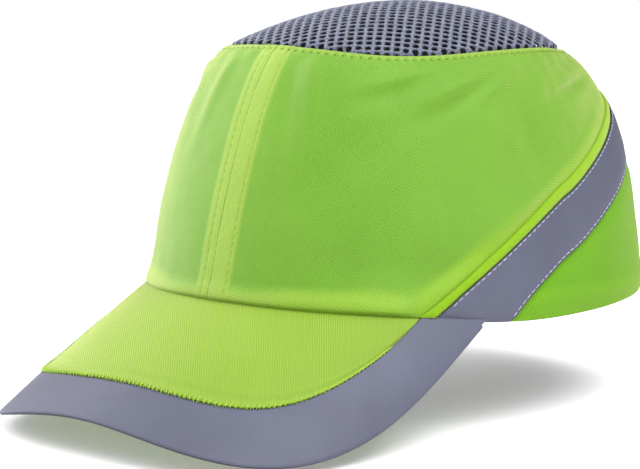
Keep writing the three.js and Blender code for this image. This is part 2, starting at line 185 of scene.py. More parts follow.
def crown_layer(angle, v, depth):
    return crown_point(angle, v) + crown_inward(angle, v) * np.asarray(depth)[..., None]


def line_height(line, angle):
    xs, ys = bezier(line, np.linspace(0, 1, 400))
    return np.interp(angle, xs, ys, left=0)


def arch_height(shape, from_back):
    share = np.minimum(np.abs(from_back) / shape.half_angle, 1)
    return shape.height * (1 - share**ARCH_ROUNDNESS) ** (1 / ARCH_ROUNDNESS)


ARC_ANGLES = np.linspace(-220, 220, 1761)
ARC_LENGTHS = lengths_along(crown_point(ARC_ANGLES, 0.4))
ARC_LENGTHS -= np.interp(0, ARC_ANGLES, ARC_LENGTHS)


def arc(angle):
    """Distance round the crown from its centre front, in mm."""
    return np.interp(angle, ARC_ANGLES, ARC_LENGTHS)


def arc_angle(distance):
    return np.interp(distance, ARC_LENGTHS, ARC_ANGLES)


def visor_surface(u, run):
    inner = crown_point(VISOR_ANGLE * u, 0)
    share = np.abs(inner[..., 0]) / crown_point(VISOR_ANGLE, 0)[0]
    run_share = run / VISOR_LENGTH
    return np.stack([
        inner[..., 0] * (1 + VISOR_FLARE * run_share),
        inner[..., 1] - run,
        inner[..., 2] - run * math.tan(math.radians(VISOR_SLOPE)) - VISOR_ARCH * (run_share * share) ** 2,
    ], -1)


def visor_run(u):
    inner = crown_point(VISOR_ANGLE * u, 0)
    end = crown_point(VISOR_ANGLE, 0)
    share = np.minimum(np.abs(inner[..., 0]) / end[0], 1)
    bow = (1 - share**VISOR_ROUNDNESS) ** (1 / VISOR_ROUNDNESS)
    return inner[..., 1] - end[1] + (end[1] - crown_point(0, 0)[1] + VISOR_LENGTH) * bow


def visor_down(u, run):
    across = visor_surface(u + 0.004, run) - visor_surface(u - 0.004, run)
    along = visor_surface(u, run + 1) - visor_surface(u, run - 1)
    down = unit(np.cross(along, across))
    return np.where(down[..., 2:] > 0, -down, down)


def visor_layer(u, w, depth):
    """Points under the visor's top face. w is 0 at the hem and 1 at the outer edge. The wearer's right side
    stands a little higher."""
    u, w = np.broadcast_arrays(np.asarray(u, float), np.asarray(w, float))
    depth = depth - VISOR_RIGHT_RISE * smooth(-u, 0.1, 0.55)
    run = visor_run(u) * w
    return visor_surface(u, run) + visor_down(u, run) * np.asarray(depth)[..., None]


def soft_noise(x, y, size, seed):
    """Smooth random heights from -1 to 1, with features of about the given size in mm."""
    table = np.random.default_rng(seed).uniform(-1, 1, (64, 64))
    gx, gy = np.asarray(x) / size, np.asarray(y) / size
    ix, iy = np.floor(gx).astype(int), np.floor(gy).astype(int)
    fx, fy = gx - ix, gy - iy
    fx, fy = fx * fx * (3 - 2 * fx), fy * fy * (3 - 2 * fy)

    def row(j):
        return table[ix % 64, j % 64] * (1 - fx) + table[(ix + 1) % 64, j % 64] * fx

    return row(iy) * (1 - fy) + row(iy + 1) * fy


# ------------------------------------------------------------------ meshes


def grid_quads(rows, cols, ring=False):
    r = np.arange(rows - 1)[:, None]
    c = np.arange(cols if ring else cols - 1)[None, :]
    n = (c + 1) % cols
    quads = [r * cols + c, r * cols + n, (r + 1) * cols + n, (r + 1) * cols + c]
    return np.stack(np.broadcast_arrays(*quads), -1).reshape(-1, 4)


def wall_quads(path, offset):
    """Quads from a closed path of vertices on the outer face to the same path on the inner face."""
    after = np.roll(path, -1)
    return np.stack([after, path, path + offset, after + offset], -1)


def closed_quads(rows, cols, ring=False):
    """Faces of a body made of an outer grid, an inner grid and the walls between their edges."""
    count = rows * cols
    outer = grid_quads(rows, cols, ring)
    faces = [outer, outer[:, ::-1] + count]
    bottom = np.arange(cols)
    top = bottom + (rows - 1) * cols
    if ring:
        faces += [wall_quads(bottom, count), wall_quads(top[::-1], count)]
    else:
        left = np.arange(1, rows - 1)[::-1] * cols
        right = np.arange(1, rows - 1) * cols + cols - 1
        path = np.concatenate([bottom, right, top[::-1], left])
        faces.append(wall_quads(path, count))
    return np.concatenate(faces)


def signed_volume(points, quads):
    a, b, c, d = (points[quads[:, i]] for i in range(4))
    first = np.einsum("ij,ij->i", a, np.cross(b, c))
    second = np.einsum("ij,ij->i", a, np.cross(c, d))
    return (first + second).sum() / 6


def add_piece(
    name, points, quads, material, body="cap", slot=None, replaces=None, uv=None, masks=None, merge=False
):
    """Makes a mesh from points in mm, turns its faces outwards and hangs it on its body. A piece with a CAD
    node's name replaces that node."""
    points = np.asarray(points, float).reshape(-1, 3)
    if signed_volume(points, quads) < 0:
        quads = quads[:, ::-1]
    mesh = bpy.data.meshes.new(name)
    mesh.from_pydata((points * MM).tolist(), [], quads.tolist())
    if uv is not None:
        layer = mesh.uv_layers.new(name="mm")
        loops = np.zeros(len(mesh.loops), int)
        mesh.loops.foreach_get("vertex_index", loops)
        layer.data.foreach_set("uv", np.asarray(uv, np.float32).reshape(-1, 2)[loops].ravel())
    for key, values in (masks or {}).items():
        attribute = mesh.attributes.new(key, "FLOAT", "POINT")
        attribute.data.foreach_set("value", np.asarray(values, np.float32).ravel())
    if merge:
        shape = bmesh.new()
        shape.from_mesh(mesh)
        bmesh.ops.remove_doubles(shape, verts=shape.verts, dist=1e-6)
        shape.to_mesh(mesh)
        shape.free()
    mesh.shade_smooth()
    mesh.materials.append(material)
    obj = bpy.data.objects.new(name, mesh)
    bpy.context.scene.collection.objects.link(obj)
    if body:
        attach(obj, body)
    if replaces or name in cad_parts:
        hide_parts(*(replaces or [name]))
    return obj


def add_layer(name, outer, inner, material, ring=False, uv=None, masks=None, **rest):
    """A closed body between two grids of points, outer and inner, that share their uv and masks."""
    points = np.concatenate([outer.reshape(-1, 3), inner.reshape(-1, 3)])
    uv = None if uv is None else np.tile(uv.reshape(-1, 2), (2, 1))
    masks = {key: np.tile(value.ravel(), 2) for key, value in (masks or {}).items()}
    return add_piece(name, points, closed_quads(*outer.shape[:2], ring), material, uv=uv, masks=masks, **rest)


TOP_STITCH = 2.2  # mm under the panels' top edge
CLOSE_ROWS = np.array([0, 0.1, 0.25, 0.45, 0.75])  # mm from an edge


def even_steps(length, count):
    """Distances from 0 to length: even, with extra ones close to both ends."""
    close = CLOSE_ROWS * min(1, length / 4)
    middle = np.linspace(close[-1], length - close[-1], count)[1:-1]
    return np.concatenate([close, middle, length - close[::-1]])


def columns(start, end, count):
    """Angles from start to end with extra ones close to both ends."""
    distances = even_steps(abs(arc(end) - arc(start)), count)
    return arc_angle(arc(start) + distances * np.sign(end - start))


def even_rows(shares, points, count):
    """Rows that are even in mm, from a finer grid of shares and its points: the share of each row in every
    column, and its mm from both ends."""
    length = lengths_along(points)
    distances = np.stack([even_steps(total, count) for total in np.maximum(length[-1], 1e-6)], 1)
    rows = [np.interp(distances[:, i], length[:, i], shares[:, i]) for i in range(shares.shape[1])]
    return np.stack(rows, 1), distances, length[-1] - distances


def round_edges(edge_distance, outer, inner, radius=None):
    """Outer and inner depths of a layer whose edges are rounded off."""
    half = (inner - outer) / 2
    radius = half if radius is None else radius
    near = 1 - np.clip(edge_distance / radius, 0, 1)
    pull = half * 0.97 * (1 - np.sqrt(np.maximum(0, 1 - near**2)))
    return outer + pull, inner - pull


def crown_places(angles, low, high, count, ring=False, end_sharpness=1.0):
    """Where each point of a grid on the crown is, in several ways."""
    angles = np.asarray(angles, float)
    low = np.broadcast_to(np.asarray(low, float), angles.shape)
    high = np.broadcast_to(np.asarray(high, float), angles.shape)
    samples = low + (high - low) * np.linspace(0, 1, 64)[:, None]
    v, from_low, to_high = even_rows(samples, crown_point(angles, samples), count)
    angle = np.broadcast_to(angles, v.shape)
    around = arc(angle)
    height = crown_point(angle, v)[..., 2] - crown_point(angle, 0)[..., 2]
    ends = np.full(v.shape, 1e3)
    if not ring:
        ends = np.minimum(np.abs(around - around[0, 0]), np.abs(around - around[0, -1]))
    edge = np.minimum(np.minimum(from_low, to_high), ends * end_sharpness)
    stitched = [np.interp(TOP_STITCH, to_high[::-1, i], v[::-1, i]) for i in range(len(angles))]
    top_length = lengths_along(crown_point(angles, np.array(stitched)))
    return SimpleNamespace(
        angle=angle, v=v, around=around, height=height, from_low=from_low, to_high=to_high, edge=edge,
        top_length=np.broadcast_to(top_length, v.shape),
    )


SURFACES = {}  # the outer face of each crown cloth, for the stitches that lie on it


def crown_cloth(name, places, depths, material, lift=0, radius=None, drop=0, **rest):
    """A layer of the crown over a grid of places. depths are its outer and inner face under the crown's face,
    lift moves both outwards and drop moves both down."""
    outer, inner = round_edges(places.edge, *depths, radius)
    outer_points = crown_layer(places.angle, places.v, outer - lift)
    inner_points = crown_layer(places.angle, places.v, inner - lift)
    outer_points[..., 2] -= drop
    inner_points[..., 2] -= drop
    SURFACES[name] = SimpleNamespace(places=places, points=outer_points)
    uv = np.stack([places.around, places.from_low], -1)
    return add_layer(name, outer_points, inner_points, material, uv=uv, **rest)


# ------------------------------------------------------------------ materials


def set_inputs(tree, node, inputs):
    for key, value in inputs.items():
        if isinstance(value, bpy.types.NodeSocket):
            tree.links.new(value, node.inputs[key])
        else:
            node.inputs[key].default_value = value


def add_node(tree, kind, inputs=None, **settings):
    made = tree.nodes.new(kind)
    for key, value in settings.items():
        setattr(made, key, value)
    set_inputs(tree, made, inputs or {})
    return made


def linear(red, green, blue):
    """Linear colour of an sRGB one, 0 to 255."""
    parts = [c / 255 for c in (red, green, blue)]
    return (*(c / 12.92 if c <= 0.04045 else ((c + 0.055) / 1.055) ** 2.4 for c in parts), 1)


def maths(tree, operation, *values):
    return add_node(tree, "ShaderNodeMath", dict(enumerate(values)), operation=operation).outputs[0]


def mix(tree, factor, a, b):
    """Mixes two colours, each a socket or an sRGB colour, 0 to 255."""
    a, b = (colour if isinstance(colour, bpy.types.NodeSocket) else linear(*colour) for colour in (a, b))
    return add_node(tree, "ShaderNodeMix", {0: factor, 6: a, 7: b}, data_type="RGBA").outputs[2]


def ramp(tree, value, low, high, to_low=0.0, to_high=1.0):
    node = add_node(tree, "ShaderNodeMapRange", {0: value, 1: low, 2: high, 3: to_low, 4: to_high})
    return node.outputs[0]


def noise(tree, scale, detail=3.0):
    """Noise over the object, with features of about 1 / scale metres."""
    place = add_node(tree, "ShaderNodeTexCoord").outputs["Object"]
    inputs = {"Vector": place, "Scale": scale, "Detail": detail}
    return add_node(tree, "ShaderNodeTexNoise", inputs).outputs[0]


def start_material(name):
    material = bpy.data.materials.new(name)
    material.use_nodes = True
    return material, material.node_tree, material.node_tree.nodes["Principled BSDF"]


def finish_shader(tree, shader, colour, roughness, height=None, distance=0.0001, strength=0.6, **settings):
    inputs = {"Base Color": colour, "Roughness": roughness, **settings}
    if height is not None:
        inputs["Normal"] = add_node(
            tree, "ShaderNodeBump", {"Strength": strength, "Distance": distance, "Height": height}
        ).outputs[0]
    set_inputs(tree, shader, inputs)


def mm_waves(tree, pitch, turn):
    """Sine waves across and along the cloth's threads, from its coordinates in mm."""
    place = add_node(tree, "ShaderNodeUVMap", uv_map="mm").outputs[0]
    rotation = (0, 0, math.radians(turn))
    turned = add_node(tree, "ShaderNodeMapping", {"Vector": place, "Rotation": rotation}).outputs[0]
    parts = add_node(tree, "ShaderNodeSeparateXYZ", {0: turned})
    waves = []
    for part in parts.outputs[:2]:
        phase = maths(tree, "MULTIPLY", part, 2 * math.pi / pitch)
        waves.append(maths(tree, "SINE", phase))
    return waves


def painted(tree, mask):
    """A mask that is painted on the mesh."""
    return add_node(tree, "ShaderNodeAttribute", attribute_name=mask).outputs["Fac"]


def woven(name, dark, base, light, pitch, double=None, rolled=None, crease_shade=None, roughness=0.8, sheen=0.25,
          sheen_tint=(1, 1, 1, 1), bump_mm=0.12, rib=0.0, turn=0.0, specular=0.12):
    """Woven cloth, its threads turned by some degrees. double is its colour where it lies over a second
    layer, rolled where it turns over at a seam, and the colour for creases is painted shade, put where
    the painted 'shade' mask marks creases, grooves and stitches that lie in shade."""
    material, tree, shader = start_material(name)
    warp, weft = mm_waves(tree, pitch, turn)
    weave = maths(tree, "MULTIPLY", warp, weft)
    if rib:
        weave = maths(tree, "MULTIPLY_ADD", warp, rib, maths(tree, "MULTIPLY", weave, 1 - rib))
    fuzz = noise(tree, 2600)
    height = maths(tree, "MULTIPLY_ADD", fuzz, 0.7, weave)
    colour = mix(tree, ramp(tree, noise(tree, 22), 0.3, 0.7), base, light)
    shade = ramp(tree, maths(tree, "MULTIPLY_ADD", fuzz, 0.8, weave), -1.0, 0.9, 0.85, 0.0)
    colour = mix(tree, shade, colour, dark)
    for mask, tint in (("double", double), ("rolled", rolled)):
        if tint:
            over = mix(tree, maths(tree, "MULTIPLY", shade, 0.6), tint, dark)
            colour = mix(tree, painted(tree, mask), colour, over)
    # painted shade: darkens the cloth where the 'shade' mask is set
    if crease_shade:
        colour = mix(tree, painted(tree, "shade"), colour, crease_shade)
    finish_shader(
        tree, shader, colour, roughness, height, bump_mm * MM,
        **{
            "Sheen Weight": sheen, "Sheen Roughness": 0.4, "Sheen Tint": sheen_tint,
            "Specular IOR Level": specular,
        },
    )
    return material


def reflective_cloth(name):
    """Silver-grey tape of glass beads on cloth: satin, with a fine grain and faint creases."""
    material, tree, shader = start_material(name)
    grain = noise(tree, 5200, 2)
    clouds = noise(tree, 30, 4)
    colour = mix(tree, ramp(tree, clouds, 0.3, 0.7), (81, 82, 99), (90, 92, 110))
    colour = mix(tree, ramp(tree, grain, 0.35, 0.75, 0, 0.35), colour, (68, 69, 86))
    # painted shade where the 'shade' mask is set
    colour = mix(tree, painted(tree, "shade"), colour, (44, 44, 56))
    rough = ramp(tree, grain, 0.3, 0.7, 0.5, 0.68)
    height = maths(tree, "MULTIPLY_ADD", noise(tree, 260, 3), 1.5, grain)
    finish_shader(
        tree, shader, colour, rough, height, 0.00005, 0.5, **{"Metallic": 0.1, "Specular IOR Level": 0.3}
    )
    return material


def yarn(name, dark, light, scale=1500, roughness=0.8, bump_mm=0.15, shaded=None):
    material, tree, shader = start_material(name)
    strands = noise(tree, scale, 4)
    colour = mix(tree, ramp(tree, strands, 0.35, 0.65), dark, light)
    # painted shade: darker where the 'shade' mask is set
    if shaded:
        colour = mix(tree, painted(tree, "shade"), colour, shaded)
    finish_shader(
        tree, shader, colour, roughness, strands, bump_mm * MM,
        **{"Sheen Weight": 0.2, "Specular IOR Level": 0.3},
    )
    return material


def moulded(name, dark, light, roughness, grain_scale=1800, bump_mm=0.05):
    """Moulded plastic with a fine textured face."""
    material, tree, shader = start_material(name)
    grain = noise(tree, grain_scale, 2)
    colour = mix(tree, ramp(tree, noise(tree, 25, 3), 0.3, 0.7), dark, light)
    rough = ramp(tree, noise(tree, 60, 3), 0.3, 0.7, roughness - 0.06, roughness + 0.08)
    finish_shader(tree, shader, colour, rough, grain, bump_mm * MM, 0.4)
    return material


def cellular(name, dark, light, cell_scale, bump_mm):
    """Foam: small round cells."""
    material, tree, shader = start_material(name)
    place = add_node(tree, "ShaderNodeTexCoord").outputs["Object"]
    cells = add_node(tree, "ShaderNodeTexVoronoi", {"Vector": place, "Scale": cell_scale}).outputs["Distance"]
    colour = mix(tree, ramp(tree, cells, 0.1, 0.6), dark, light)
    height = maths(tree, "MULTIPLY_ADD", noise(tree, 90, 3), 0.8, cells)
    finish_shader(tree, shader, colour, 0.92, height, bump_mm * MM, 0.7, **{"Specular IOR Level": 0.15})
    return material


HI_VIS_SHEEN = (1, 0.96, 0.42, 1)
HI_VIS = woven(
    "hi_vis_fabric", (46, 90, 9), (103, 152, 36), (111, 160, 46), 0.9, rib=0.45, turn=32,
    double=(161, 184, 77), rolled=(127, 168, 27), crease_shade=(84, 121, 2), sheen=0.5,
    sheen_tint=HI_VIS_SHEEN, roughness=0.55, specular=0.24,
)
# A shaded copy of hi_vis_fabric for the rear panels: the same cloth painted a darker, more saturated green
# and given less sheen, so that the rear looks less lit.
REAR_HI_VIS_SHADED_COPY = woven(
    "rear_hi_vis_shaded_copy", (48, 94, 7), (97, 152, 26), (104, 159, 34), 0.9, rib=0.45, turn=32,
    double=(146, 182, 56), crease_shade=(84, 121, 2), sheen=0.22, sheen_tint=HI_VIS_SHEEN,
)
VISOR_CLOTH = woven(
    "visor_fabric", (95, 129, 19), (121, 153, 39), (129, 159, 49), 0.85,
    crease_shade=(74, 112, 4), rib=0.6, turn=-43, sheen=0.5, sheen_tint=HI_VIS_SHEEN, roughness=0.6, specular=0.25,
)
BEAD_CLOTH = woven(
    "piping_fabric", (91, 133, 9), (125, 168, 23), (132, 174, 32), 0.8,
    crease_shade=(84, 123, 2), sheen=0.5, sheen_tint=HI_VIS_SHEEN,
)
REFLECTIVE = reflective_cloth("reflective_tape")
# its shaded colour is painted shade, for the walls and floors of the holes
MESH_YARN = yarn("spacer_mesh", (56, 60, 76), (122, 126, 148), shaded=(11, 11, 18))
TAPE_CLOTH = woven("lining_tape", (110, 158, 48), (150, 200, 80), (160, 208, 92), 0.7, rib=0.6)
BOARD = moulded("visor_board", (205, 205, 198), (218, 218, 212), 0.5)
TERRY = yarn("towelling", (26, 28, 33), (62, 65, 74), 900, 0.95, 0.5)
LABEL = woven("label_cloth", (205, 205, 200), (238, 238, 233), (245, 245, 240), 0.45, rib=0.4)
WEBBING = woven("webbing", (12, 12, 15), (38, 39, 44), (46, 47, 53), 1.3, rib=0.5, bump_mm=0.3)
LOOP_PILE = yarn("loop_pile", (18, 18, 21), (58, 59, 66), 2200, 0.95, 0.4)
HOOK_PILE = moulded("hook_pile", (20, 20, 23), (34, 35, 39), 0.45)
SHELL = moulded("shell_plastic", (24, 25, 28), (34, 35, 39), 0.38)
FOAM = cellular("foam", (36, 37, 42), (74, 76, 84), 1400, 0.25)
GREEN_THREAD = yarn("green_thread", (112, 148, 22), (160, 194, 52), 3000, 0.6, 0.05)
# Thread of the stitches under the mesh edge: real stitches, painted a darker green than the other threads as
# painted shade where they sink into the cloth.
NEEDLE_THREAD_SHADED = yarn("needle_thread_shaded", (60, 98, 8), (88, 128, 20), 3000, 0.6, 0.05)
SEAM_THREAD = yarn("seam_thread", (112, 146, 14), (146, 176, 36), 3000, 0.6, 0.05)
GREY_THREAD = yarn("grey_thread", (140, 142, 162), (206, 208, 224), 3000, 0.6, 0.05)
BLACK_THREAD = yarn("black_thread", (20, 20, 24), (60, 61, 68), 3000, 0.7, 0.05)

# ------------------------------------------------------------------ stitches


THREAD_POINTS, THREAD_SIDES = 7, 6
THREAD_TURNS = np.linspace(0, 2 * math.pi, THREAD_SIDES + 1)[:-1]


def add_threads(name, paths, side, normal, radii, material, **rest):
    """Short closed tubes round paths of THREAD_POINTS points. side and normal span each ring."""
    across, up = np.cos(THREAD_TURNS)[:, None], np.sin(THREAD_TURNS)[:, None]
    ring = side[:, :, None] * across + normal[:, :, None] * up
    vertices = (paths[:, :, None] + ring * radii[None, :, None, None]).reshape(-1, 3)
    size = THREAD_POINTS * THREAD_SIDES
    first, last = np.array([[3, 2, 1, 0], [0, 5, 4, 3]]), np.array([[-5, -4, -3, -2], [-2, -1, 0, -5]])
    caps = np.concatenate([first, last + size - 1])
    quads = np.concatenate([grid_quads(THREAD_POINTS, THREAD_SIDES, ring=True), caps])
    faces = (quads[None] + (np.arange(len(paths)) * size)[:, None, None]).reshape(-1, 4)
    return add_piece(name, vertices, faces, material, **rest)


def stitch_row(
    name, points, normals, material, pitch=3.0, length=2.3, radius=0.22, lift=0.12, start=0.5, **rest
):
    """A row of stitches along a line on a surface: short threads whose ends dip into the cloth."""
    distance = lengths_along(points)
    count = int(distance[-1] / pitch)
    centres = (np.arange(count) + start) * pitch
    along_shares = np.array([-1, -0.8, -0.4, 0, 0.4, 0.8, 1])
    radii = np.array([0.35, 0.8, 1, 1, 1, 0.8, 0.35]) * radius
    dips = np.array([-1.6, -0.6, 0, 0.15, 0, -0.6, -1.6]) * radius
    at = centres[:, None] + along_shares[None, :] * length / 2

    def sample(values):
        return np.stack([np.interp(at, distance, values[:, i]) for i in range(3)], -1)

    middle = sample(points)
    normal = unit(sample(normals))
    tangent = unit(np.gradient(middle, axis=1))
    side = unit(np.cross(tangent, normal))
    middle = middle + normal * (lift + dips)[None, :, None]
    return add_threads(name, middle, side, normal * 0.8, radii, material, **rest)


def line_on(cloth, measure, target, lengthways=True, keep=None):
    """Points and outward normals of the line on a cloth where a measure of its places has the target value.
    A lengthways line has one point in every column, and any other has one in every row."""
    surface = SURFACES[cloth]
    values = getattr(surface.places, measure)
    fields = [surface.points[..., n] for n in range(3)] + [surface.places.angle, surface.places.v]
    if not lengthways:
        values = values.T
        fields = [field.T for field in fields]
    columns_kept = range(values.shape[1]) if keep is None else np.flatnonzero(keep)
    made = []
    for i in columns_kept:
        order = np.argsort(values[:, i], kind="stable")
        made.append([np.interp(target, values[order, i], field[order, i]) for field in fields])
    made = np.array(made)
    return made[:, :3], -crown_inward(made[:, 3], made[:, 4])


def stitches_on(name, cloth, measure, target, material, lengthways=True, keep=None, **rest):
    points, normals = line_on(cloth, measure, target, lengthways, keep)
    return stitch_row(name, points, normals, material, **rest)


# ------------------------------------------------------------------ how the crown's cloth is shaped

PIPING_TUCK = 0.014  # how far the panel's edge comes down over the piping at the hem
CENTRE_SEAM = 1.5  # mm from the centre front to the seam between the front panels
BAND_EDGES = (-5.0, 11.0)  # the double layer of cloth over the centre seam, in mm from the centre front
BAND_STITCHES = (-2.5, 9.0)
REAR_BAND = -8.5  # the same at the centre back, measured from the seam
REAR_STITCHES = -6.0
BAND_HEM_STITCH = 1.0  # mm inside the reflective band's edges
STITCH_PITCH = 3.4
SIDE_LENGTH = 105  # mm up the crown's side, from the hem to the mesh

# Soft folds: (angle, v) at both ends, half width and height in mm. Angles are on the wearer's left.
LEFT_FOLDS = [
    ((8, 0.97), (14, 0.35), 3.6, -0.9),
    ((14, 0.95), (22, 0.45), 4.4, 1.1),
    ((57, 0.89), (30, 0.72), 3.8, 1.6),
    ((54, 0.8), (28, 0.64), 4.6, -1.4),
    ((78, 0.89), (50, 0.68), 3.8, 2.2),
    ((75, 0.78), (45, 0.58), 5.0, -1.8),
    ((87, 0.87), (63, 0.66), 3.4, 1.8),
    ((98, 0.86), (76, 0.62), 5.0, 1.0),
    ((80, 0.75), (86, 0.3), 7.0, -1.1),
    ((92, 0.46), (58, 0.12), 7.5, 2.2),
    ((84, 0.3), (52, 0.06), 6.0, -1.3),
    ((58, 0.6), (24, 0.17), 10.0, 1.6),
    ((100, 0.17), (12, 0.1), 8.5, -2.2),
    ((122, 0.81), (90, 0.69), 2.8, -2.6),
    ((118, 0.92), (92, 0.81), 5.0, -1.2),
    ((128, 0.78), (98, 0.6), 5.0, -0.6),
]
RIGHT_FOLDS = [
    ((10, 0.97), (17, 0.38), 4.4, 1.0),
    ((32, 0.95), (22, 0.2), 7.0, 0.6),
    ((60, 0.91), (33, 0.72), 4.0, 1.2),
    ((57, 0.82), (30, 0.64), 4.6, -1.1),
    ((80, 0.89), (52, 0.68), 4.0, 1.6),
    ((77, 0.79), (48, 0.59), 5.0, -1.3),
    ((98, 0.88), (73, 0.65), 4.4, 1.2),
    ((88, 0.58), (57, 0.13), 8.0, 2.0),
    ((82, 0.36), (46, 0.08), 6.0, -1.3),
    ((100, 0.17), (14, 0.1), 8.5, -1.7),
    ((122, 0.81), (88, 0.68), 3.0, -2.2),
]


def fold_heights(angle, v, folds):
    """Outward lift of a set of soft folds."""
    x, y = arc(angle), v * SIDE_LENGTH
    lift = np.zeros(np.shape(x))
    for (a0, v0), (a1, v1), width, height in folds:
        start = np.array([arc(a0), v0 * SIDE_LENGTH])
        end = np.array([arc(a1), v1 * SIDE_LENGTH])
        along = end - start
        share = ((x - start[0]) * along[0] + (y - start[1]) * along[1]) / (along @ along)
        distance = np.hypot(x - start[0] - share * along[0], y - start[1] - share * along[1])
        lift += height * bell(distance, 0, width) * smooth(share, -0.1, 0.45) * (1 - smooth(share, 0.4, 1.15))
    return lift


def dimples(distance, pitch=STITCH_PITCH):
    """1 where the thread goes through the cloth, and less between."""
    return 0.5 + 0.5 * np.cos(2 * math.pi * distance / pitch)


def hem_width(angle):
    """Height of the doubled cloth along the hem over the visor, in mm."""
    return 4.2 + 3.6 * smooth(angle, 0, 40)


def between(x, edges, fade):
    """1 between two edges and 0 outside them, fading over a distance on each side."""
    return smooth(x, edges[0] - fade, edges[0] + fade) * (1 - smooth(x, edges[1] - fade, edges[1] + fade))


def piping_top(angle):
    """Height of the seam between a front panel and the piping."""
    return line_height(PIPING_LINE, angle) - PIPING_TUCK * (1 - smooth(angle, 54, 70))


def panel_zones(places):
    """Zones of a front panel: over the visor, and the double layers at the centre and rear seams."""
    around = places.around
    rear = np.abs(around) - arc(180)
    return SimpleNamespace(
        over_visor=1 - smooth(np.abs(places.angle), 46, 54),
        centre=between(around, BAND_EDGES, 1.3),
        rear_distance=rear,
        rear=smooth(rear, REAR_BAND - 1.3, REAR_BAND + 1.3),
        from_stitches=[around - BAND_STITCHES[0], around - BAND_STITCHES[1], rear - REAR_STITCHES],
    )


def panel_lift(places, side):
    """Outward lift of a front panel: hem roll, folded top edge, seam puckers and folds."""
    zones = panel_zones(places)
    angle, x, low, top = np.abs(places.angle), places.around, places.from_low, places.to_high
    roll_height = 0.55 + 0.6 * smooth(places.angle, -30, 10)
    roll = zones.over_visor * roll_height * smooth(low, 0.2, 1.3) * (1 - smooth(low, 2.4, 7.6))
    upper_rear = smooth(angle, 100, 118)
    beside_piping = 0.55 * (1 - upper_rear) * bump(low, 4.5, 5.5) - 0.6 * upper_rear
    beside_piping = (1 - zones.over_visor) * beside_piping
    fold = 0.3 * bump(top, 0.9, 1.5) - bell(top, TOP_STITCH, 0.5) * (0.12 + 0.4 * dimples(places.top_length))
    ripple_phase = places.top_length / 10.5 * 2 * math.pi + 1.4 * np.sin(places.top_length / 19)
    ripples = 0.26 * np.sin(ripple_phase) * smooth(top, 2, 5) * np.exp(-np.maximum(top - 2, 0) / 8)
    seam = 0.3 * zones.centre - 0.12 * bell(x, CENTRE_SEAM, 0.6) * (0.4 + 0.6 * dimples(low))
    seam = seam + 0.3 * zones.rear - 0.2 * bell(zones.rear_distance, 0, 0.6)
    for distance in zones.from_stitches:
        seam = seam - bell(distance, 0, 0.5) * (0.08 + 0.3 * dimples(low))
    inside = smooth(top, 2, 9) * smooth(low, 1, 8)
    folds = fold_heights(angle, places.v, LEFT_FOLDS if side > 0 else RIGHT_FOLDS) * inside
    rough = 0.2 * soft_noise(x + SIDE_NOISE_SHIFT * side, places.height, 17, 3)
    rough = rough + 0.09 * soft_noise(x, places.height, 6, 4)
    return roll + beside_piping + fold + ripples + seam + folds + rough * inside


def panel_masks(places):
    """Where a front panel lies over a second layer of cloth, and painted shade where creases, grooves,
    stitches and seams lie in shade.
    """
    zones = panel_zones(places)
    angle, x, low, top = np.abs(places.angle), places.around, places.from_low, places.to_high
    width = 3.5 + 5 * (1 - smooth(angle, 52, 90))
    uneven = 1.2 * soft_noise(x + 400, low, 14, 5)
    hem = zones.over_visor * (1 - smooth(low + uneven, hem_width(angle) - 2.5, hem_width(angle) + 2.6))
    beside_piping = (1 - zones.over_visor) * (1 - smooth(low + uneven, width - 3.5, width + 4.5))
    folded = 0.4 * (1 - smooth(top, 1.8, 3.0))
    green_hem = smooth(places.angle, 8, 34)
    double = np.maximum.reduce([
        0.55 * zones.centre, 0.55 * zones.rear, 0.65 * hem * (1 - 0.5 * green_hem), 0.14 * beside_piping,
        folded,
    ])
    rolled = np.maximum(0.5 * hem * green_hem, 0.75 * beside_piping)
    # painted shade: a dark line along the hem's foot, where it sits on the visor
    crease_shade = 0.8 * zones.over_visor * (1 - smooth(low, 0.6, 1.3))
    # painted shade in the groove between the panel and the piping
    groove = 0.2 * (1 - zones.over_visor) * (1 - smooth(low, 0.3, 1.2))
    # painted shade at the stitches under the top edge and beside the seams' bands
    dots = bell(top, TOP_STITCH, 0.7) * dimples(places.top_length) ** 2
    for distance in zones.from_stitches:
        dots = np.maximum(dots, 0.4 * bell(distance, 0, 0.4) * (0.3 + 0.7 * dimples(low)))
    # painted shade along the seam between the front panels
    seam = 0.3 * bell(x, CENTRE_SEAM, 0.4) * (0.3 + 0.7 * dimples(low))
    return {"double": double, "rolled": rolled, "shade": np.maximum.reduce([crease_shade, groove, dots, seam])}


# ------------------------------------------------------------------ crown pieces


def front_panel(side, name):
    start = arc_angle(CENTRE_SEAM + 0.01 * side)
    angles = columns(start, 179.99 * side, 380)
    low = np.maximum(HEM_START, piping_top(np.abs(angles)) + EDGE_GAP * 0.2)
    places = crown_places(angles, low, SEAM_END, 104, end_sharpness=12)
    crown_cloth(
        name, places, (0, 1.0), HI_VIS, lift=panel_lift(places, side), drop=hem_drop(places),
        masks=panel_masks(places),
    )


def hem_drop(places):
    """The hem sits down on the visor and hides where the visor goes in under it."""
    near_hem = 1 - smooth(places.height, 0.6, 9)
    rear = np.abs(places.angle)
    drop = 1.2 - 0.8 * smooth(rear, 20, 46) + 1.5 * smooth(rear, 56, 64) - 2.1 * smooth(rear, 74, 112)
    return near_hem * drop


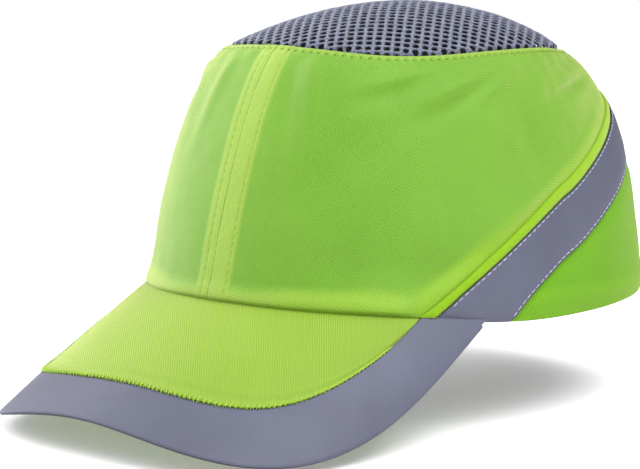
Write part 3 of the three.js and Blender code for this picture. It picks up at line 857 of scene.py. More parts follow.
def rear_panel(side, name):
    angles = columns((BAND_FRONT_LINE[0][0] + 1.2) * side, 179.92 * side, 240)
    low = np.maximum(HEM_START, arch_height(PANEL_ARCH, 180 - np.abs(angles)))
    high = np.maximum(line_height(BAND_FRONT_LINE, np.abs(angles)) - EDGE_GAP, low + 0.002)
    places = crown_places(angles, low, high, 70, end_sharpness=12)
    below_band = line_height(BAND_REAR_LINE, np.abs(angles)) - places.v
    free = smooth(below_band, 0.0, 0.06)
    low_mm = places.from_low
    puff = 0.9 * free * bump(low_mm, 6, 7) + 0.9 * free
    wave = 0.25 * soft_noise(places.around + SIDE_NOISE_SHIFT * side, places.height, 15, 8)
    wave = wave * free * smooth(low_mm, 1, 6)
    rear_x = np.abs(places.around) - arc(180)
    seam = -0.15 * bell(rear_x, 0, 0.6) + 0.3 * smooth(rear_x, -9.2, -7.8)
    double = np.maximum(0.12 * (1 - smooth(low_mm, 8, 11)), 0.62 * smooth(rear_x, -9.0, -8.0))
    # the rear panels wear the shaded copy of the hi-vis cloth
    crown_cloth(
        name, places, (0.35, 1.25), REAR_HI_VIS_SHADED_COPY, lift=puff + wave + seam, drop=hem_drop(places),
        masks={"double": double},
    )


def piping(side, name):
    angles = columns((PIPING_LINE[0][0] + 0.8) * side, 179.92 * side, 320)
    low = np.maximum(HEM_START, line_height(BAND_FRONT_LINE, np.abs(angles)) - EDGE_GAP * 0.5)
    high = np.maximum(piping_top(np.abs(angles)) + EDGE_GAP * 0.6, low + 0.002)
    places = crown_places(angles, low, high, 18)
    total = places.from_low + places.to_high
    share = places.from_low / np.maximum(total, 1e-6)
    round_back = np.sqrt(np.maximum(0, 1 - (2 * share - 1) ** 2))
    rise = np.minimum(total * 0.3, 1.15) * (1 - 0.5 * smooth(np.abs(places.angle), 100, 118))
    wave = 0.12 * soft_noise(places.around, places.height, 9, 12)
    # painted shade along the piping's upper edge, in the groove beside the panel
    crown_cloth(
        name, places, (0.15, 1.3), BEAD_CLOTH, lift=(rise + wave) * round_back, drop=hem_drop(places),
        masks={"shade": 0.45 * (1 - smooth(places.to_high, 0.1, 0.8))}, radius=0.25,
    )


def reflective_band(side, name):
    start = BAND_FRONT_LINE[0][0] + 1.3
    angles = columns(start * side, 179.92 * side, 320)
    low = np.maximum(HEM_START, line_height(BAND_REAR_LINE, np.abs(angles)))
    high = np.maximum(line_height(BAND_FRONT_LINE, np.abs(angles)) - EDGE_GAP * 0.6, low + 0.002)
    places = crown_places(angles, low, high, 44, end_sharpness=6)
    around = places.around + SIDE_NOISE_SHIFT * side
    wave = 0.18 * soft_noise(around, places.height, 22, 15)
    wave = wave + 0.05 * soft_noise(places.around, places.height, 7, 16)
    near_hem = 1 - smooth(places.height, 4, 22)
    wave = wave + 0.7 * soft_noise(around, places.height, 9, 18) * near_hem
    turned_in = 1.3 * (1 - smooth(places.height, 0, 3.5)) ** 2
    stitched = bell(places.from_low, BAND_HEM_STITCH, 0.4) + bell(places.to_high, BAND_HEM_STITCH, 0.4)
    groove = -0.16 * stitched
    middle = 0.3 * smooth(places.edge, 1.2, 6)
    # painted shade: a thin dark line along both edges of the band
    crown_cloth(
        name, places, (-0.5, 0.0), REFLECTIVE, lift=0.3 + wave + groove + middle - turned_in,
        drop=hem_drop(places), masks={"shade": 0.8 * (1 - smooth(places.edge, 0.1, 0.5))},
    )
    wide = (places.from_low + places.to_high)[0] > 5
    past_corner = np.abs(angles) > BAND_REAR_LINE[0][0] + 0.6
    for end, measure, keep in (("lower", "from_low", past_corner), ("upper", "to_high", wide)):
        stitches_on(
            f"{name}_{end}_stitches", name, measure, BAND_HEM_STITCH, GREY_THREAD, keep=keep,
            pitch=3.1, length=2.6, radius=0.16, lift=0.06,
        )


def centre_seam_tape(name, centre, bottom, top):
    angles = arc_angle(arc(centre) + np.linspace(-SEAM_TAPE_HALF, SEAM_TAPE_HALF, 30))
    places = crown_places(angles, bottom, top, 90)
    ribs = 0.05 * np.sin(places.from_low * 2 * math.pi / 2.2)
    crown_cloth(name, places, (1.55, 2.0), TAPE_CLOTH, lift=ribs)


def mesh_tape():
    angles = np.linspace(0, 360, 241)[:-1]
    places = crown_places(angles, 0.93, 1.03, 12, ring=True)
    waves = 0.08 * np.sin(places.angle * math.pi / 180 * MESH_TAPE_WAVES)
    crown_cloth("mesh_seam_tape", places, (3.0, 3.5), TAPE_CLOTH, lift=waves, ring=True)


# Knitted mesh: a lattice of round holes laid over the dome, cut on the bias.
MESH_TURN = 43
MESH_PITCH = (3.7, 4.15)
MESH_SHEAR = 0.1
HOLE_RADII = (1.27, 1.54)
STRAND_DEPTH = 0.85


def dome_point(p, q, depth):
    """A point of the dome from its flat pattern: p and q are distances over the surface from its top."""
    rim = crown_point(np.linspace(0, 360, 721), 1)
    bearing = np.unwrap(np.arctan2(rim[:, 1] - DOME_Y, rim[:, 0]))
    order = np.argsort(bearing)
    turn = np.arctan2(q, p)
    start = bearing[order][0]
    turn = start + np.mod(turn - start, 2 * math.pi)
    reach = np.hypot(rim[:, 0], rim[:, 1] - DOME_Y)
    radius = np.interp(turn, bearing[order], reach[order])
    drop = DOME_Z - np.interp(turn, bearing[order], rim[order, 2])
    slope = 2 * drop / radius
    length = np.hypot(p, q)
    k = length / radius
    for _ in range(6):
        stretched = np.sqrt(1 + (slope * k) ** 2)
        made = radius / 2 * (k * stretched + np.arcsinh(slope * k) / slope)
        k = np.maximum(k - (made - length) / (radius * stretched), 0)
    reach = radius * k
    point = np.stack([reach * np.cos(turn), DOME_Y + reach * np.sin(turn), DOME_Z - drop * k * k], -1)
    tilt = slope * k
    normal = unit(np.stack([tilt * np.cos(turn), tilt * np.sin(turn), np.ones_like(tilt)], -1))
    return point - normal * np.asarray(depth)[..., None], k


def crown_mesh():
    turn = math.radians(MESH_TURN)
    across = np.array([math.cos(turn), math.sin(turn)])
    away = np.array([-math.sin(turn), math.cos(turn)])

    def flat(i, j):
        """Flat pattern coordinates of lattice position (i, j); whole numbers are the cells' corners."""
        x = (i + MESH_SHEAR * j) * MESH_PITCH[0]
        y = j * MESH_PITCH[1]
        return x * across[0] + y * away[0], x * across[1] + y * away[1]

    def height(kind, k):
        """Depth of a ring of points, lower where the mesh goes under the panels' edge."""
        under = 2.6 * smooth(k, 0.965, 0.995)
        return {"crest": -0.2, "shoulder": -0.12, "rim": 0.15, "floor": STRAND_DEPTH}[kind] + under

    side = np.array([-2, -1, 0, 1, 2]) / 4
    border = [(x, -0.5) for x in side[:-1]] + [(0.5, y) for y in side[:-1]]
    border += [(x, 0.5) for x in side[:0:-1]] + [(-0.5, y) for y in side[:0:-1]]
    border = np.array(border)
    sides = len(border)
    turns = np.arctan2(border[:, 1], border[:, 0])
    hole = np.stack([
        HOLE_RADII[0] / MESH_PITCH[0] * np.cos(turns), HOLE_RADII[1] / MESH_PITCH[1] * np.sin(turns)
    ], -1)
    rings = [(border, "crest"), (border * 0.35 + hole * 0.65, "shoulder"), (hole, "rim"),
             (hole, "floor"), (border, "floor")]
    reach = 30
    cells = [(i, j) for i in range(-reach, reach) for j in range(-reach, reach)]
    centres = np.array([flat(i, j) for i, j in cells])
    _, k = dome_point(centres[:, 0], centres[:, 1], 0)
    cells = [cell for cell, share in zip(cells, k) if share < 1.045]
    jitter = np.random.default_rng(21).normal(0, 0.018, (len(cells), 2))
    index, points, quads, edges = {}, [], [], {}

    def vertex(key, i, j, kind):
        if key not in index:
            index[key] = len(points)
            points.append((i, j, kind))
        return index[key]

    for number, (ci, cj) in enumerate(cells):
        loops = []
        for level, (ring, kind) in enumerate(rings):
            loop = []
            for n, (x, y) in enumerate(ring):
                shift = (0, 0) if ring is border else jitter[number]
                place = (ci + x + shift[0], cj + y + shift[1])
                key = (number, level, n)
                if ring is border:  # neighbouring cells share their border's points
                    key = (round(place[0] * 4), round(place[1] * 4), kind)
                loop.append(vertex(key, *place, kind))
            loops.append(loop)
        for upper, lower in zip(loops[:-1], loops[1:]):
            for n in range(sides):
                m = (n + 1) % sides
                quads.append((upper[n], upper[m], lower[m], lower[n]))
        for n in range(sides):
            m = (n + 1) % sides
            edges[(loops[0][n], loops[0][m])] = (loops[-1][n], loops[-1][m])
    for (a, b), (low_a, low_b) in edges.items():
        if (b, a) not in edges:
            quads.append((b, a, low_a, low_b))
    places = np.array([(i, j) for i, j, _ in points])
    p, q = flat(places[:, 0], places[:, 1])
    _, k = dome_point(p, q, 0)
    depths = np.array([height(kind, share) for (_, _, kind), share in zip(points, k)])
    # painted shade: the holes' rims and floors are darkened as if in shadow
    shade = np.array([{"crest": 0, "shoulder": 0.1, "rim": 0.75, "floor": 1}[kind] for _, _, kind in points])
    rearward = p * across[0] + q * across[1]
    full_side = 0.7 * smooth(rearward, 15, 45) * (1 - smooth(k, 0.85, 0.97))
    sway = 0.12 * soft_noise(p + 300, q + 300, 1.6, 31) - full_side
    made, _ = dome_point(p, q, depths + sway)
    add_piece(
        "crown_mesh", made, np.array(quads), MESH_YARN, uv=np.stack([p, q], -1), masks={"shade": shade},
    )


def front_panel_stitches():
    settings = {"pitch": STITCH_PITCH, "radius": 0.17, "lift": 0.0, "start": 0}
    for word, side, line in (("left", 1, BAND_STITCHES[1]), ("right", -1, BAND_STITCHES[0])):
        panel = f"{word}_front_panel"
        stitches_on(
            f"{word}_mesh_edge_stitches", panel, "to_high", TOP_STITCH, NEEDLE_THREAD_SHADED, length=1.1,
            **{**settings, "radius": 0.3},
        )
        for place, around in (("centre", line), ("rear", side * (arc(180) + REAR_STITCHES))):
            stitches_on(
                f"{word}_{place}_stitches", panel, "around", around, SEAM_THREAD, lengthways=False,
                length=1.7, **settings,
            )


for side, word in ((1, "left"), (-1, "right")):
    front_panel(side, f"{word}_front_panel")
    rear_panel(side, f"{word}_rear_panel")
    piping(side, f"{word}_piping")
    reflective_band(side, f"{word}_reflective_band")
centre_seam_tape("front_seam_tape", 0, 0.31, 0.92)
centre_seam_tape("rear_seam_tape", 180, 0.42, 0.92)
mesh_tape()
crown_mesh()
front_panel_stitches()

# ------------------------------------------------------------------ visor


def visor_columns(count):
    return np.sin(np.linspace(-1, 1, count) * math.pi / 2) * VISOR_END


def trim_start(u):
    share = np.minimum(np.abs(u) / TRIM_HALF_ANGLE_SHARE, 1)
    return TRIM_START * np.sqrt(1 - share ** (6 + 10 * smooth(-u, 0.2, 0.6)))


def visor_thickness(edge_mm):
    """The visor is thin where its covers are pinched together along the outer edge."""
    return 2.0 + 1.6 * smooth(edge_mm, 0.5, 9)


def rim_distance(points, rim):
    """Distance from the visor's outer edge, in mm, of points in columns beside the rim's points."""
    last = rim.shape[0] - 1
    return np.minimum.reduce([
        np.linalg.norm(points - rim[np.clip(np.arange(last + 1) + shift, 0, last)], axis=-1)
        for shift in range(-24, 25, 2)
    ])


def visor_places(u, start, end, count):
    """Grid across the visor: columns at u, rows from share start to share end of the way out."""
    run = visor_run(u)
    samples = start + (np.broadcast_to(end, u.shape) - start) * np.linspace(0, 1, 60)[:, None]
    points = visor_surface(np.broadcast_to(u, samples.shape), run * samples)
    w, from_start, to_end = even_rows(samples, points, count)
    grid = np.broadcast_to(u, w.shape)
    here = visor_surface(grid, run * w)
    edge_mm = rim_distance(here, visor_surface(u, run))
    return SimpleNamespace(
        u=grid, w=w, from_start=from_start, to_end=to_end, edge_mm=edge_mm, x=here[..., 0]
    )


def visor_cloth(name, places, outer, inner, material, masks=None):
    outer, inner = round_edges(np.minimum(places.from_start, places.to_end), outer, inner)
    top = visor_layer(places.u, places.w, outer)
    under = visor_layer(places.u, places.w, inner)
    add_layer(name, top, under, material, uv=top[..., :2], masks=masks)


def tucked_in(u):
    """Where the visor's layers start, inside the hem."""
    return -3.0 / np.maximum(visor_run(u), 6)


def cover_end(u):
    return np.minimum(trim_start(u) + 0.012, 0.985)


def visor_top_cover():
    u = visor_columns(420)
    u = u[np.abs(u) < TRIM_HALF_ANGLE_SHARE * 0.9985]
    places = visor_places(u, tucked_in(u), cover_end(u), 90)
    end = places.to_end
    scallop = 0.22 * np.cos(places.x * 2 * math.pi / 1.9)
    over_trim = 1 - smooth(end, 1.5, 6)
    ridge = 0.3 * bump(end, 8, 4) - 0.15 * bell(end, 3.2, 0.8)
    lip = 0.25 * bump(end, 1.0, 1.5) * (1 + scallop) * (1 - smooth(-places.u, 0.45, 0.6))
    rise = 0.85 * over_trim + ridge * smooth(places.from_start, 4, 9) + lip
    depth = 0.45 - rise + 0.12 * soft_noise(places.x + 300, places.from_start, 20, 41)
    from_hem = places.from_start - 3.0
    # painted shade on the cover along the hem, where it goes in under the crown
    visor_cloth(
        "visor_top_cover", places, depth, depth + 0.4, VISOR_CLOTH,
        masks={"shade": 0.8 * (1 - smooth(from_hem, 0.0, 0.8))},
    )
    overlock(u)


OVERLOCK_PITCH = 2.0


def overlock(u):
    """Overlock threads that cross the cover's outer edge."""
    u = u[np.abs(u) < TRIM_HALF_ANGLE_SHARE * 0.985]
    distance = lengths_along(visor_layer(u, cover_end(u), -0.62))
    at = np.arange(1, distance[-1] - 1, OVERLOCK_PITCH)
    chance = np.random.default_rng(52)
    for name, slant in (("overlock_threads", 0.45), ("overlock_cross_threads", -0.45)):
        jitter = chance.uniform(-0.25, 0.25, len(at))
        middle_u = np.interp(at + jitter, distance, u)
        paths, normals = [], []
        shares = np.linspace(-1, 1, THREAD_POINTS)
        reach = chance.uniform(0.95, 1.4, len(at))
        for centre, far in zip(middle_u, reach):
            run = visor_run(np.array([centre]))[0]
            du = slant / 110 * shares
            w = cover_end(np.array([centre]))[0] + (0.75 * far * (shares + 0.1) - 0.35) / max(run, 8)
            lift = -0.72 + 0.35 * shares**4 - 0.05 * (slant > 0)
            lift = lift + 0.45 * smooth(shares, 0.2, 1.0)
            paths.append(visor_layer(centre + du, np.clip(w, 0, 0.995), lift))
            normals.append(-visor_down(centre + du, run * w))
        threads(name, np.array(paths), np.array(normals), 0.22, GREEN_THREAD)


def threads(name, paths, normals, radius, material, **rest):
    """Short threads, one for each path of points."""
    tangent = unit(np.gradient(paths, axis=1))
    side = unit(np.cross(tangent, normals))
    radii = np.array([0.5, 0.9, 1, 1, 1, 0.9, 0.5]) * radius
    return add_threads(name, paths, side, unit(np.cross(side, tangent)), radii, material, **rest)


def visor_board():
    u = visor_columns(200)
    places = visor_places(u, tucked_in(u), 0.985, 40)
    total = visor_thickness(places.edge_mm)
    visor_cloth("visor_board", places, 0.95, total - 1.0, BOARD)


def visor_under_cover():
    u = visor_columns(300)
    places = visor_places(u, tucked_in(u), 0.985, 70)
    total = visor_thickness(places.edge_mm)
    rise = 0.1 * soft_noise(places.x + 300, places.from_start, 18, 43)
    for offset in (9, 17, 25, 33):
        rise = rise - 0.22 * bell(places.edge_mm, offset, 0.55)
    visor_cloth("visor_under_cover", places, total - 0.9 + rise, total - 0.5 + rise, VISOR_CLOTH)


def visor_trim():
    """Reflective cloth folded round the visor's outer edge: top leg, round edge and under leg."""
    u = visor_columns(460)
    run = visor_run(u)
    start = np.maximum(trim_start(u) - 3.5 / np.maximum(run, 8), tucked_in(u))
    under = 1 - TRIM_UNDER_SHARE * (1 - trim_start(u))
    wall = 0.42
    top_rows = np.linspace(0, 1, 46)
    bend = np.linspace(-90, 90, 11)[1:-1]
    under_rows = np.linspace(0, 1, 26)
    rim = visor_surface(u, run)

    low, high = np.clip(u - 0.004, -VISOR_END, VISOR_END), np.clip(u + 0.004, -VISOR_END, VISOR_END)
    along = visor_surface(high, visor_run(high)) - visor_surface(low, visor_run(low))
    down = visor_down(u, run)
    outward = unit(np.cross(down, along))
    under_cover = 1 - smooth(np.abs(u), TRIM_HALF_ANGLE_SHARE - 0.04, TRIM_HALF_ANGLE_SHARE)
    outer_rows, inner_rows = [], []
    for share in top_rows:
        w = start + (1 - start) * share
        tuck = 0.55 * under_cover * (1 - smooth(share * (1 - start) * run, 2.6, 4.6))
        ripple = 0.1 * soft_noise(visor_surface(u, run * w)[:, 0] + 300, run * w, 16, 44)
        outer_rows.append(visor_layer(u, w, tuck + ripple))
        inner_rows.append(visor_layer(u, w, tuck + ripple + wall))
    edge_thickness = visor_thickness(0)
    for turn in np.radians(bend):
        for rows, radius in ((outer_rows, edge_thickness / 2), (inner_rows, edge_thickness / 2 - wall)):
            centre = visor_layer(u, np.ones_like(u), edge_thickness / 2)
            rows.append(centre + outward * radius * math.cos(turn) + down * radius * math.sin(turn))
    for share in under_rows:
        w = 1 + (under - 1) * share
        total = visor_thickness(rim_distance(visor_surface(u, run * w), rim))
        outer_rows.append(visor_layer(u, w, total))
        inner_rows.append(visor_layer(u, w, total - wall))
    outer, inner = np.array(outer_rows), np.array(inner_rows)
    lengths = lengths_along(outer)
    uv = np.stack([np.broadcast_to(arc(VISOR_ANGLE * u), lengths.shape), lengths], -1)
    fold = np.arange(len(outer)) - len(top_rows)
    # painted shade: the lower part of the rounded edge is darkened, as if in shadow under the visor
    shade = np.where((fold >= len(bend) // 3) & (fold < len(bend)), 0.9, 0.0)[:, None] + 0 * lengths
    # painted shadow on the top leg next to the cover's edge
    past_cover = lengths[:len(top_rows)] - (cover_end(u) - start) * run
    shade[:len(top_rows)] = 0.75 * (1 - smooth(past_cover, 0.9, 2.0)) * (np.abs(u) < TRIM_HALF_ANGLE_SHARE)
    add_layer("visor_reflective_trim", outer, inner, REFLECTIVE, uv=uv, masks={"shade": shade})


visor_top_cover()
visor_board()
visor_under_cover()
visor_trim()

# ------------------------------------------------------------------ inside of the crown, and the rear strap


def sweatband():
    end = 180 - STRAP.sewn - 1
    places = crown_places(columns(-end, end, 520), HEM_START, SWEATBAND_TOP, 36)
    terry = 0.16 * soft_noise(places.around + 500, places.from_low, 1.1, 61)
    terry = terry + 0.12 * soft_noise(places.around + 500, places.from_low, 2.4, 62)
    groove = -0.5 * bell(places.to_high, SWEATBAND_STITCH, 0.8)
    outer, inner = round_edges(places.edge, *SWEATBAND_DEPTHS, 1.4)
    inner = inner + (terry + groove + 0.3 * bump(places.from_low, 14, 12)) * smooth(places.edge, 0, 1.4) * 0.8
    band = add_layer(
        "sweatband", crown_layer(places.angle, places.v, outer),
        crown_layer(places.angle, places.v, inner), TERRY, uv=np.stack([places.around, places.from_low], -1),
    )
    line = places.v[np.argmin(np.abs(places.to_high[:, 300] - SWEATBAND_STITCH))]
    angles = places.angle[0]
    points = crown_layer(angles, line, 4.25)
    stitch_row(
        "sweatband_stitches", points, crown_inward(angles, line), BLACK_THREAD, slot="towelling", pitch=3.2,
        length=2.5, radius=0.24, lift=0.1,
    )


def size_label():
    places = crown_places(columns(128, 142, 30), 0.05, 0.24, 40)
    curl = 0.5 * (1 - smooth(places.from_low, 0, 9))
    curl = curl + 0.12 * soft_noise(places.around, places.from_low, 6, 71)
    crown_cloth("size_label", places, (4.75, 5.0), LABEL, lift=-curl - 0.25)


BINDING_STITCHES = 0.72  # how far across the binding its stitches run


def opening_binding():
    """Folded tape round the rear opening."""
    steps, sides = 200, 24
    turns = np.linspace(0, math.pi, steps)
    power = 2 / ARCH_ROUNDNESS
    around = np.linspace(0, 2 * math.pi, sides + 1)[:-1]
    places = []
    for shape in (OPENING, BINDING_RIM):
        from_back = shape.half_angle * signed_power(np.cos(turns), power)
        height = np.maximum(HEM_START, shape.height * np.abs(np.sin(turns)) ** power)
        places.append((180 - from_back, height))

    def at_share(share):
        """Angles and heights that far from the opening's edge to the binding's outer edge."""
        return [inner * (1 - share) + outer * share for inner, outer in zip(*places)]

    rows = []
    for turn in around:
        depth = 0.7 + 1.25 * signed_power(math.sin(turn), 0.75)
        rows.append(crown_layer(*at_share(0.5 - 0.5 * signed_power(math.cos(turn), 0.8)), depth))
    grid = np.array(rows).transpose(1, 0, 2)
    caps = []
    for start in (0, (steps - 1) * sides):
        ring = np.arange(sides) + start
        middle = [[ring[n], ring[n + 1], ring[-2 - n], ring[-1 - n]] for n in range(sides // 2 - 1)]
        caps += middle if start else [face[::-1] for face in middle]
    quads = np.concatenate([grid_quads(steps, sides, ring=True), np.array(caps)])
    length = lengths_along(grid[:, 0])[:, None]
    uv = np.stack(np.broadcast_arrays(length, np.arange(sides)[None, :] * 0.5), -1)
    add_piece("rear_opening_binding", grid, quads, BEAD_CLOTH, uv=uv)
    angle, height = at_share(BINDING_STITCHES)
    stitch_row(
        "binding_stitches", crown_layer(angle, height, -0.5), -crown_inward(angle, height), GREEN_THREAD,
        pitch=2.8, length=2.1, radius=0.2,
    )


def webbing_ribs(places):
    ribs = 0.07 * np.sin(places.from_low * 2 * math.pi / 2.4)
    return ribs * smooth(places.edge, 0, 1)


def strap_places(start, end, count, inset=0.0, rows=30):
    return crown_places(columns(180 - start, 180 - end, count), STRAP.bottom + inset, STRAP.top - inset, rows)


def rear_straps():
    places = strap_places(-STRAP.sewn, STRAP.overlap, 150)
    crown_cloth("loop_strap", places, STRAP_DEPTHS, WEBBING, lift=webbing_ribs(places))
    places = strap_places(STRAP.flap, STRAP.overlap, 130, PATCH_INSET, 70)
    loops = 0.12 * soft_noise(places.around, places.from_low, 0.8, 81) * smooth(places.edge, 0, 0.6)
    crown_cloth("loop_patch", places, (1.65, 2.2), LOOP_PILE, lift=loops)
    places = strap_places(STRAP.sewn, STRAP.flap, 190)
    outside = smooth(places.angle, 159.8, 164.2)
    shift = 2.9 * outside
    tip = 0.0015 * np.maximum(places.angle - 180, 0) ** 2
    crown_strap = crown_cloth(
        "hook_strap", places, STRAP_DEPTHS, WEBBING, lift=shift + webbing_ribs(places) + tip, body=None,
        replaces=["hook_strap", "hook_strap_root"],
    )
    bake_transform(crown_strap)
    places = strap_places(STRAP.flap, STRAP.overlap - 4, 60, PATCH_INSET, 20)
    crown_cloth("hook_patch", places, (0.62, 0.95), HOOK_PILE, body="strap_flap")
    hook_rows()


def hook_rows():
    """The hook tape's little hooks, in rows under the flap."""
    first, last = arc(180 - STRAP.overlap + 4) + 1.2, arc(180 - STRAP.flap) - 1.2
    around = np.arange(first, last, 1.15)
    heights = np.linspace(STRAP.bottom + 0.018, STRAP.top - 0.018, 17)
    paths, normals = [], []
    shares = np.linspace(0, 1, THREAD_POINTS)
    for i, place in enumerate(around):
        for height in heights + 0.002 * (i % 2):
            bend = 0.45 * smooth(shares, 0.3, 1.0) ** 2
            angle = arc_angle(place + bend)
            depth = 0.85 + 0.62 * np.sin(shares * math.pi * 0.62)
            paths.append(crown_layer(angle, height, depth))
            normals.append(np.tile([0.0, 0.0, 1.0], (THREAD_POINTS, 1)))
    threads("hook_rows", np.array(paths), np.array(normals), 0.1, HOOK_PILE, body="strap_flap")


def strap_box_stitches():
    """Box of stitches that holds each strap's sewn end, seen from the inside."""
    for word, centre in (("left", 180 - STRAP_BOX_ANGLE), ("right", 180 + STRAP_BOX_ANGLE)):
        half, low, high = 2.4, 0.035, 0.185
        left, right = centre - half, centre + half
        corners = [(left, low), (right, low), (right, high), (left, high), (left, low), (right, high)]
        angle, height = (
            np.concatenate([np.linspace(a[n], b[n], 12) for a, b in zip(corners[:-1], corners[1:])])
            for n in (0, 1)
        )
        points = crown_layer(angle, height, 3.4)
        stitch_row(
            f"{word}_strap_stitches", points, crown_inward(angle, height), BLACK_THREAD, slot="webbing",
            pitch=2.4, length=1.8, radius=0.22, lift=0.12,
        )


sweatband()
size_label()
opening_binding()
rear_straps()
strap_box_stitches()

# ------------------------------------------------------------------ shell insert and pads

SHELL_DEPTHS = (6.3, 8.1)
SHELL_RIM = (0.27, 0.4)  # height of its lower edge at the front and at the rear
VENT_LENGTH, VENT_WIDTH, VENT_DEPTH = 26, 5, 40
SIDE_VENT_ANGLES, SIDE_VENT_HEIGHT = (35, 62, 118, 145), 0.74
TOP_VENT_OFFSETS = (-24, 0, 24)
PAD_DEPTH, PAD_FILL = 8.7, 0.7


def vent_cutter(centre, direction, length_axis):
    z_axis = Vector(direction).normalized()
    y_axis = z_axis.cross(Vector(length_axis)).normalized()
    x_axis = y_axis.cross(z_axis)
    half = (VENT_LENGTH - VENT_WIDTH) / 2
    outline = []
    for start, side in ((-90, 1), (90, -1)):
        for turn in np.radians(np.linspace(start, start + 180, 13)):
            outline.append((side * half + VENT_WIDTH / 2 * math.cos(turn), VENT_WIDTH / 2 * math.sin(turn)))
    points = [Vector(centre) + x_axis * x + y_axis * y + z_axis * z * VENT_DEPTH / 2
              for z in (-1, 1) for x, y in outline]
    count = len(outline)
    faces = [[n, (n + 1) % count, (n + 1) % count + count, n + count] for n in range(count)]
    faces += [list(range(count))[::-1], list(range(count, 2 * count))]
    return points, faces


def bump_shell():
    angles = np.linspace(0, 360, 181)[:-1]
    from_front = np.minimum(angles, 360 - angles)
    rim = SHELL_RIM[0] + (SHELL_RIM[1] - SHELL_RIM[0]) * smooth(from_front, 105, 150)
    wall = np.concatenate([np.linspace(0, 0.06, 5), np.linspace(0.12, 1, 30)])[:, None]
    lower = rim[None, :] + (1 - rim[None, :]) * wall
    heights = np.concatenate([lower, np.broadcast_to(np.linspace(1, 2, 34)[1:, None], (33, len(angles)))])
    grid = np.broadcast_to(angles, heights.shape)
    mm_up = (heights - rim[None, :]) * 120
    lip = 0.5 * (1 - smooth(mm_up, 1.5, 3.0))
    outer_depth, inner_depth = round_edges(mm_up, SHELL_DEPTHS[0], SHELL_DEPTHS[1] + lip, 0.9)
    shell = add_layer(
        "bump_shell", crown_layer(grid, heights, outer_depth), crown_layer(grid, heights, inner_depth), SHELL,
        ring=True, merge=True, body="insert",
    )
    points, faces, cutters = [], [], []
    for angle in SIDE_VENT_ANGLES:
        for side in (-1, 1):
            centre = crown_layer(angle * side, SIDE_VENT_HEIGHT, sum(SHELL_DEPTHS) / 2)
            direction = crown_point(angle * side, SIDE_VENT_HEIGHT) - centre
            cutters.append(vent_cutter(centre, direction, (0, 0, 1)))
    for offset in TOP_VENT_OFFSETS:
        for side in (-1, 1):
            cutters.append(vent_cutter((side * 40, DOME_Y + offset, 100), (0, 0, 1), (1, 0, 0)))
    for made, sides in cutters:
        faces += [[n + len(points) for n in face] for face in sides]
        points += made
    cutter_mesh = bpy.data.meshes.new("vents")
    cutter_mesh.from_pydata([tuple(p * MM) for p in points], [], faces)
    cutter = bpy.data.objects.new("vents", cutter_mesh)
    bpy.context.scene.collection.objects.link(cutter)
    modifier = shell.modifiers.new("vents", "BOOLEAN")
    modifier.operation = "DIFFERENCE"
    modifier.solver = "EXACT"
    modifier.object = cutter
    bpy.context.view_layer.update()
    cut = bpy.data.meshes.new_from_object(shell.evaluated_get(bpy.context.evaluated_depsgraph_get()))
    shell.modifiers.clear()
    shell.data = cut
    cut.name = "bump_shell"
    cut.set_sharp_from_angle(angle=math.radians(35))
    bpy.data.objects.remove(cutter)


def foam_pad(name, start, end, bottom, top, thickness):
    places = crown_places(columns(start, end, 70), bottom, top, 44)
    outer, inner = round_edges(places.edge, PAD_DEPTH, PAD_DEPTH + thickness, 1.7)
    corner = 1 - smooth(places.edge, 0, 7)
    inner = inner + 0.5 * (1 - corner) - 0.6 * corner * smooth(places.edge, 0, 1.7)
    inner = inner + 0.1 * soft_noise(places.around + 300, places.height, 5, 91) * smooth(places.edge, 0.5, 3)
    pad = add_layer(
        name, crown_layer(places.angle, places.v, outer), crown_layer(places.angle, places.v, inner), FOAM,
        body="insert",
    )


def crown_foam_pad():
    angles = np.linspace(0, 360, 145)[:-1]
    steps = np.concatenate([[0, 0.004, 0.01, 0.018, 0.028], np.linspace(0.045, 1, 30)])
    heights = np.broadcast_to((1.42 + 0.58 * steps)[:, None], (len(steps), len(angles)))
    grid = np.broadcast_to(angles, heights.shape)
    outer = crown_layer(grid, heights, PAD_DEPTH)
    from_edge = np.linalg.norm(outer - outer[0], axis=2)
    near = 1 - np.clip(from_edge / 2.2, 0, 1)
    pull = 1 - np.sqrt(np.maximum(0, 1 - near**2))
    top = outer.copy()
    under = outer.copy()
    under[..., 2] = 98 - 0.4 * smooth(from_edge, 2, 14)
    half = (outer[..., 2] - under[..., 2]) / 2
    top[..., 2] -= pull * np.minimum(half * 0.97, 2.2)
    under[..., 2] += pull * np.minimum(half * 0.97, 2.2)
    pad = add_layer("crown_foam_pad", top, under, FOAM, ring=True, merge=True, body="insert")


bump_shell()
crown_foam_pad()
for name, *shape in (
    ("front_foam_pad", -34, 34, 0.36, 0.62, 4),  # angles from and to, heights from and to, mm thick
    ("rear_foam_pad", 148, 212, 0.45, 0.7, 4),
    ("left_foam_pad", 76, 104, 0.44, 0.66, 3),
    ("right_foam_pad", -104, -76, 0.44, 0.66, 3),
):
    foam_pad(name, *shape)

# ------------------------------------------------------------------ floor, lights and camera

scene = bpy.context.scene
scene.view_settings.view_transform = "Standard"

FLOOR_Z = (cad_box[0].z / MM - 1.0) * MM  # a little under the lowest point
FLOOR_REACH = 20.0


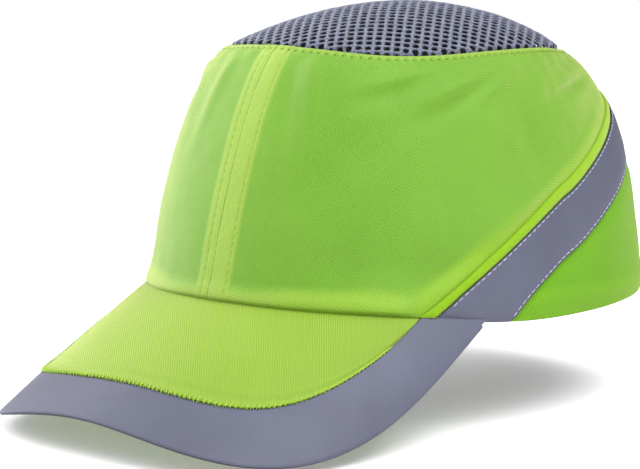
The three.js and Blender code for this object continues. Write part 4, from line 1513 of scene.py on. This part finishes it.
def pale_floor():
    material, tree, shader = start_material("pale_floor")
    cloudy = add_node(tree, "ShaderNodeMix", {
        0: ramp(tree, noise(tree, 3, 2), 0.3, 0.7), 6: (0.93, 0.93, 0.93, 1), 7: (0.96, 0.96, 0.96, 1)
    }, data_type="RGBA").outputs[2]
    place = add_node(tree, "ShaderNodeTexCoord").outputs["Object"]
    reach = add_node(tree, "ShaderNodeVectorMath", {0: place}, operation="LENGTH").outputs["Value"]
    glow = ramp(tree, reach, 0.35, 1.6, 0.24, 0.8)
    finish_shader(
        tree, shader, cloudy, 0.9,
        **{"Specular IOR Level": 0.1, "Emission Color": (1, 1, 1, 1), "Emission Strength": glow},
    )
    mesh = bpy.data.meshes.new("floor")
    corners = [(-1, -1), (1, -1), (1, 1), (-1, 1)]
    mesh.from_pydata([(x * FLOOR_REACH, y * FLOOR_REACH, FLOOR_Z) for x, y in corners], [], [(0, 1, 2, 3)])
    mesh.materials.append(material)
    floor = bpy.data.objects.new("floor", mesh)
    scene.collection.objects.link(floor)


def aimed(azimuth, elevation):
    """Direction from the cap to something that looks at it. Azimuth 0 is in front of the visor."""
    a, e = math.radians(azimuth), math.radians(elevation)
    return Vector((math.sin(a) * math.cos(e), -math.cos(a) * math.cos(e), math.sin(e)))


def stand(obj, place, back):
    """Puts a light or camera at a place, its back turned that way."""
    obj.location = place
    obj.rotation_mode = "QUATERNION"
    obj.rotation_quaternion = (-back).to_track_quat("-Z", "Y")
    scene.collection.objects.link(obj)


def area_light(name, azimuth, elevation, distance, size, watts):
    """A square softbox aimed at the cap."""
    aim = Vector((0, -0.02, 0.05))
    back = aimed(azimuth, elevation)
    data = bpy.data.lights.new(name, "AREA")
    data.size = size
    data.energy = watts
    light = bpy.data.objects.new(name, data)
    stand(light, aim + back * distance, back)


def studio():
    world = bpy.data.worlds.new("studio")
    world.use_nodes = True
    world.node_tree.nodes["Background"].inputs[0].default_value = (1, 1, 1, 1)
    world.node_tree.nodes["Background"].inputs[1].default_value = 0.19
    scene.world = world
    area_light("side", -72, 22, 1.3, 1.5, 28)
    area_light("top", 62, 56, 1.3, 1.4, 23)
    area_light("fill", 30, 10, 1.5, 1.0, 1.5)
    area_light("rear_top", 112, 62, 1.3, 0.9, 11)


CAMERA = SimpleNamespace(
    azimuth=43.01, elevation=7.92, distance=1032.28, lens=142.28, aim_right=-29.69, aim_up=22.67
)


def add_camera():
    a = math.radians(CAMERA.azimuth)
    back = aimed(CAMERA.azimuth, CAMERA.elevation)
    right = Vector((math.cos(a), math.sin(a), 0))
    target = right * CAMERA.aim_right + Vector((0, 0, CAMERA.aim_up))
    data = bpy.data.cameras.new("camera")
    data.lens = CAMERA.lens
    data.sensor_width = 36
    data.clip_start = 0.05
    data.clip_end = 100
    camera = bpy.data.objects.new("camera", data)
    stand(camera, (target + back * CAMERA.distance) * MM, back)
    scene.camera = camera


pale_floor()
studio()
add_camera()
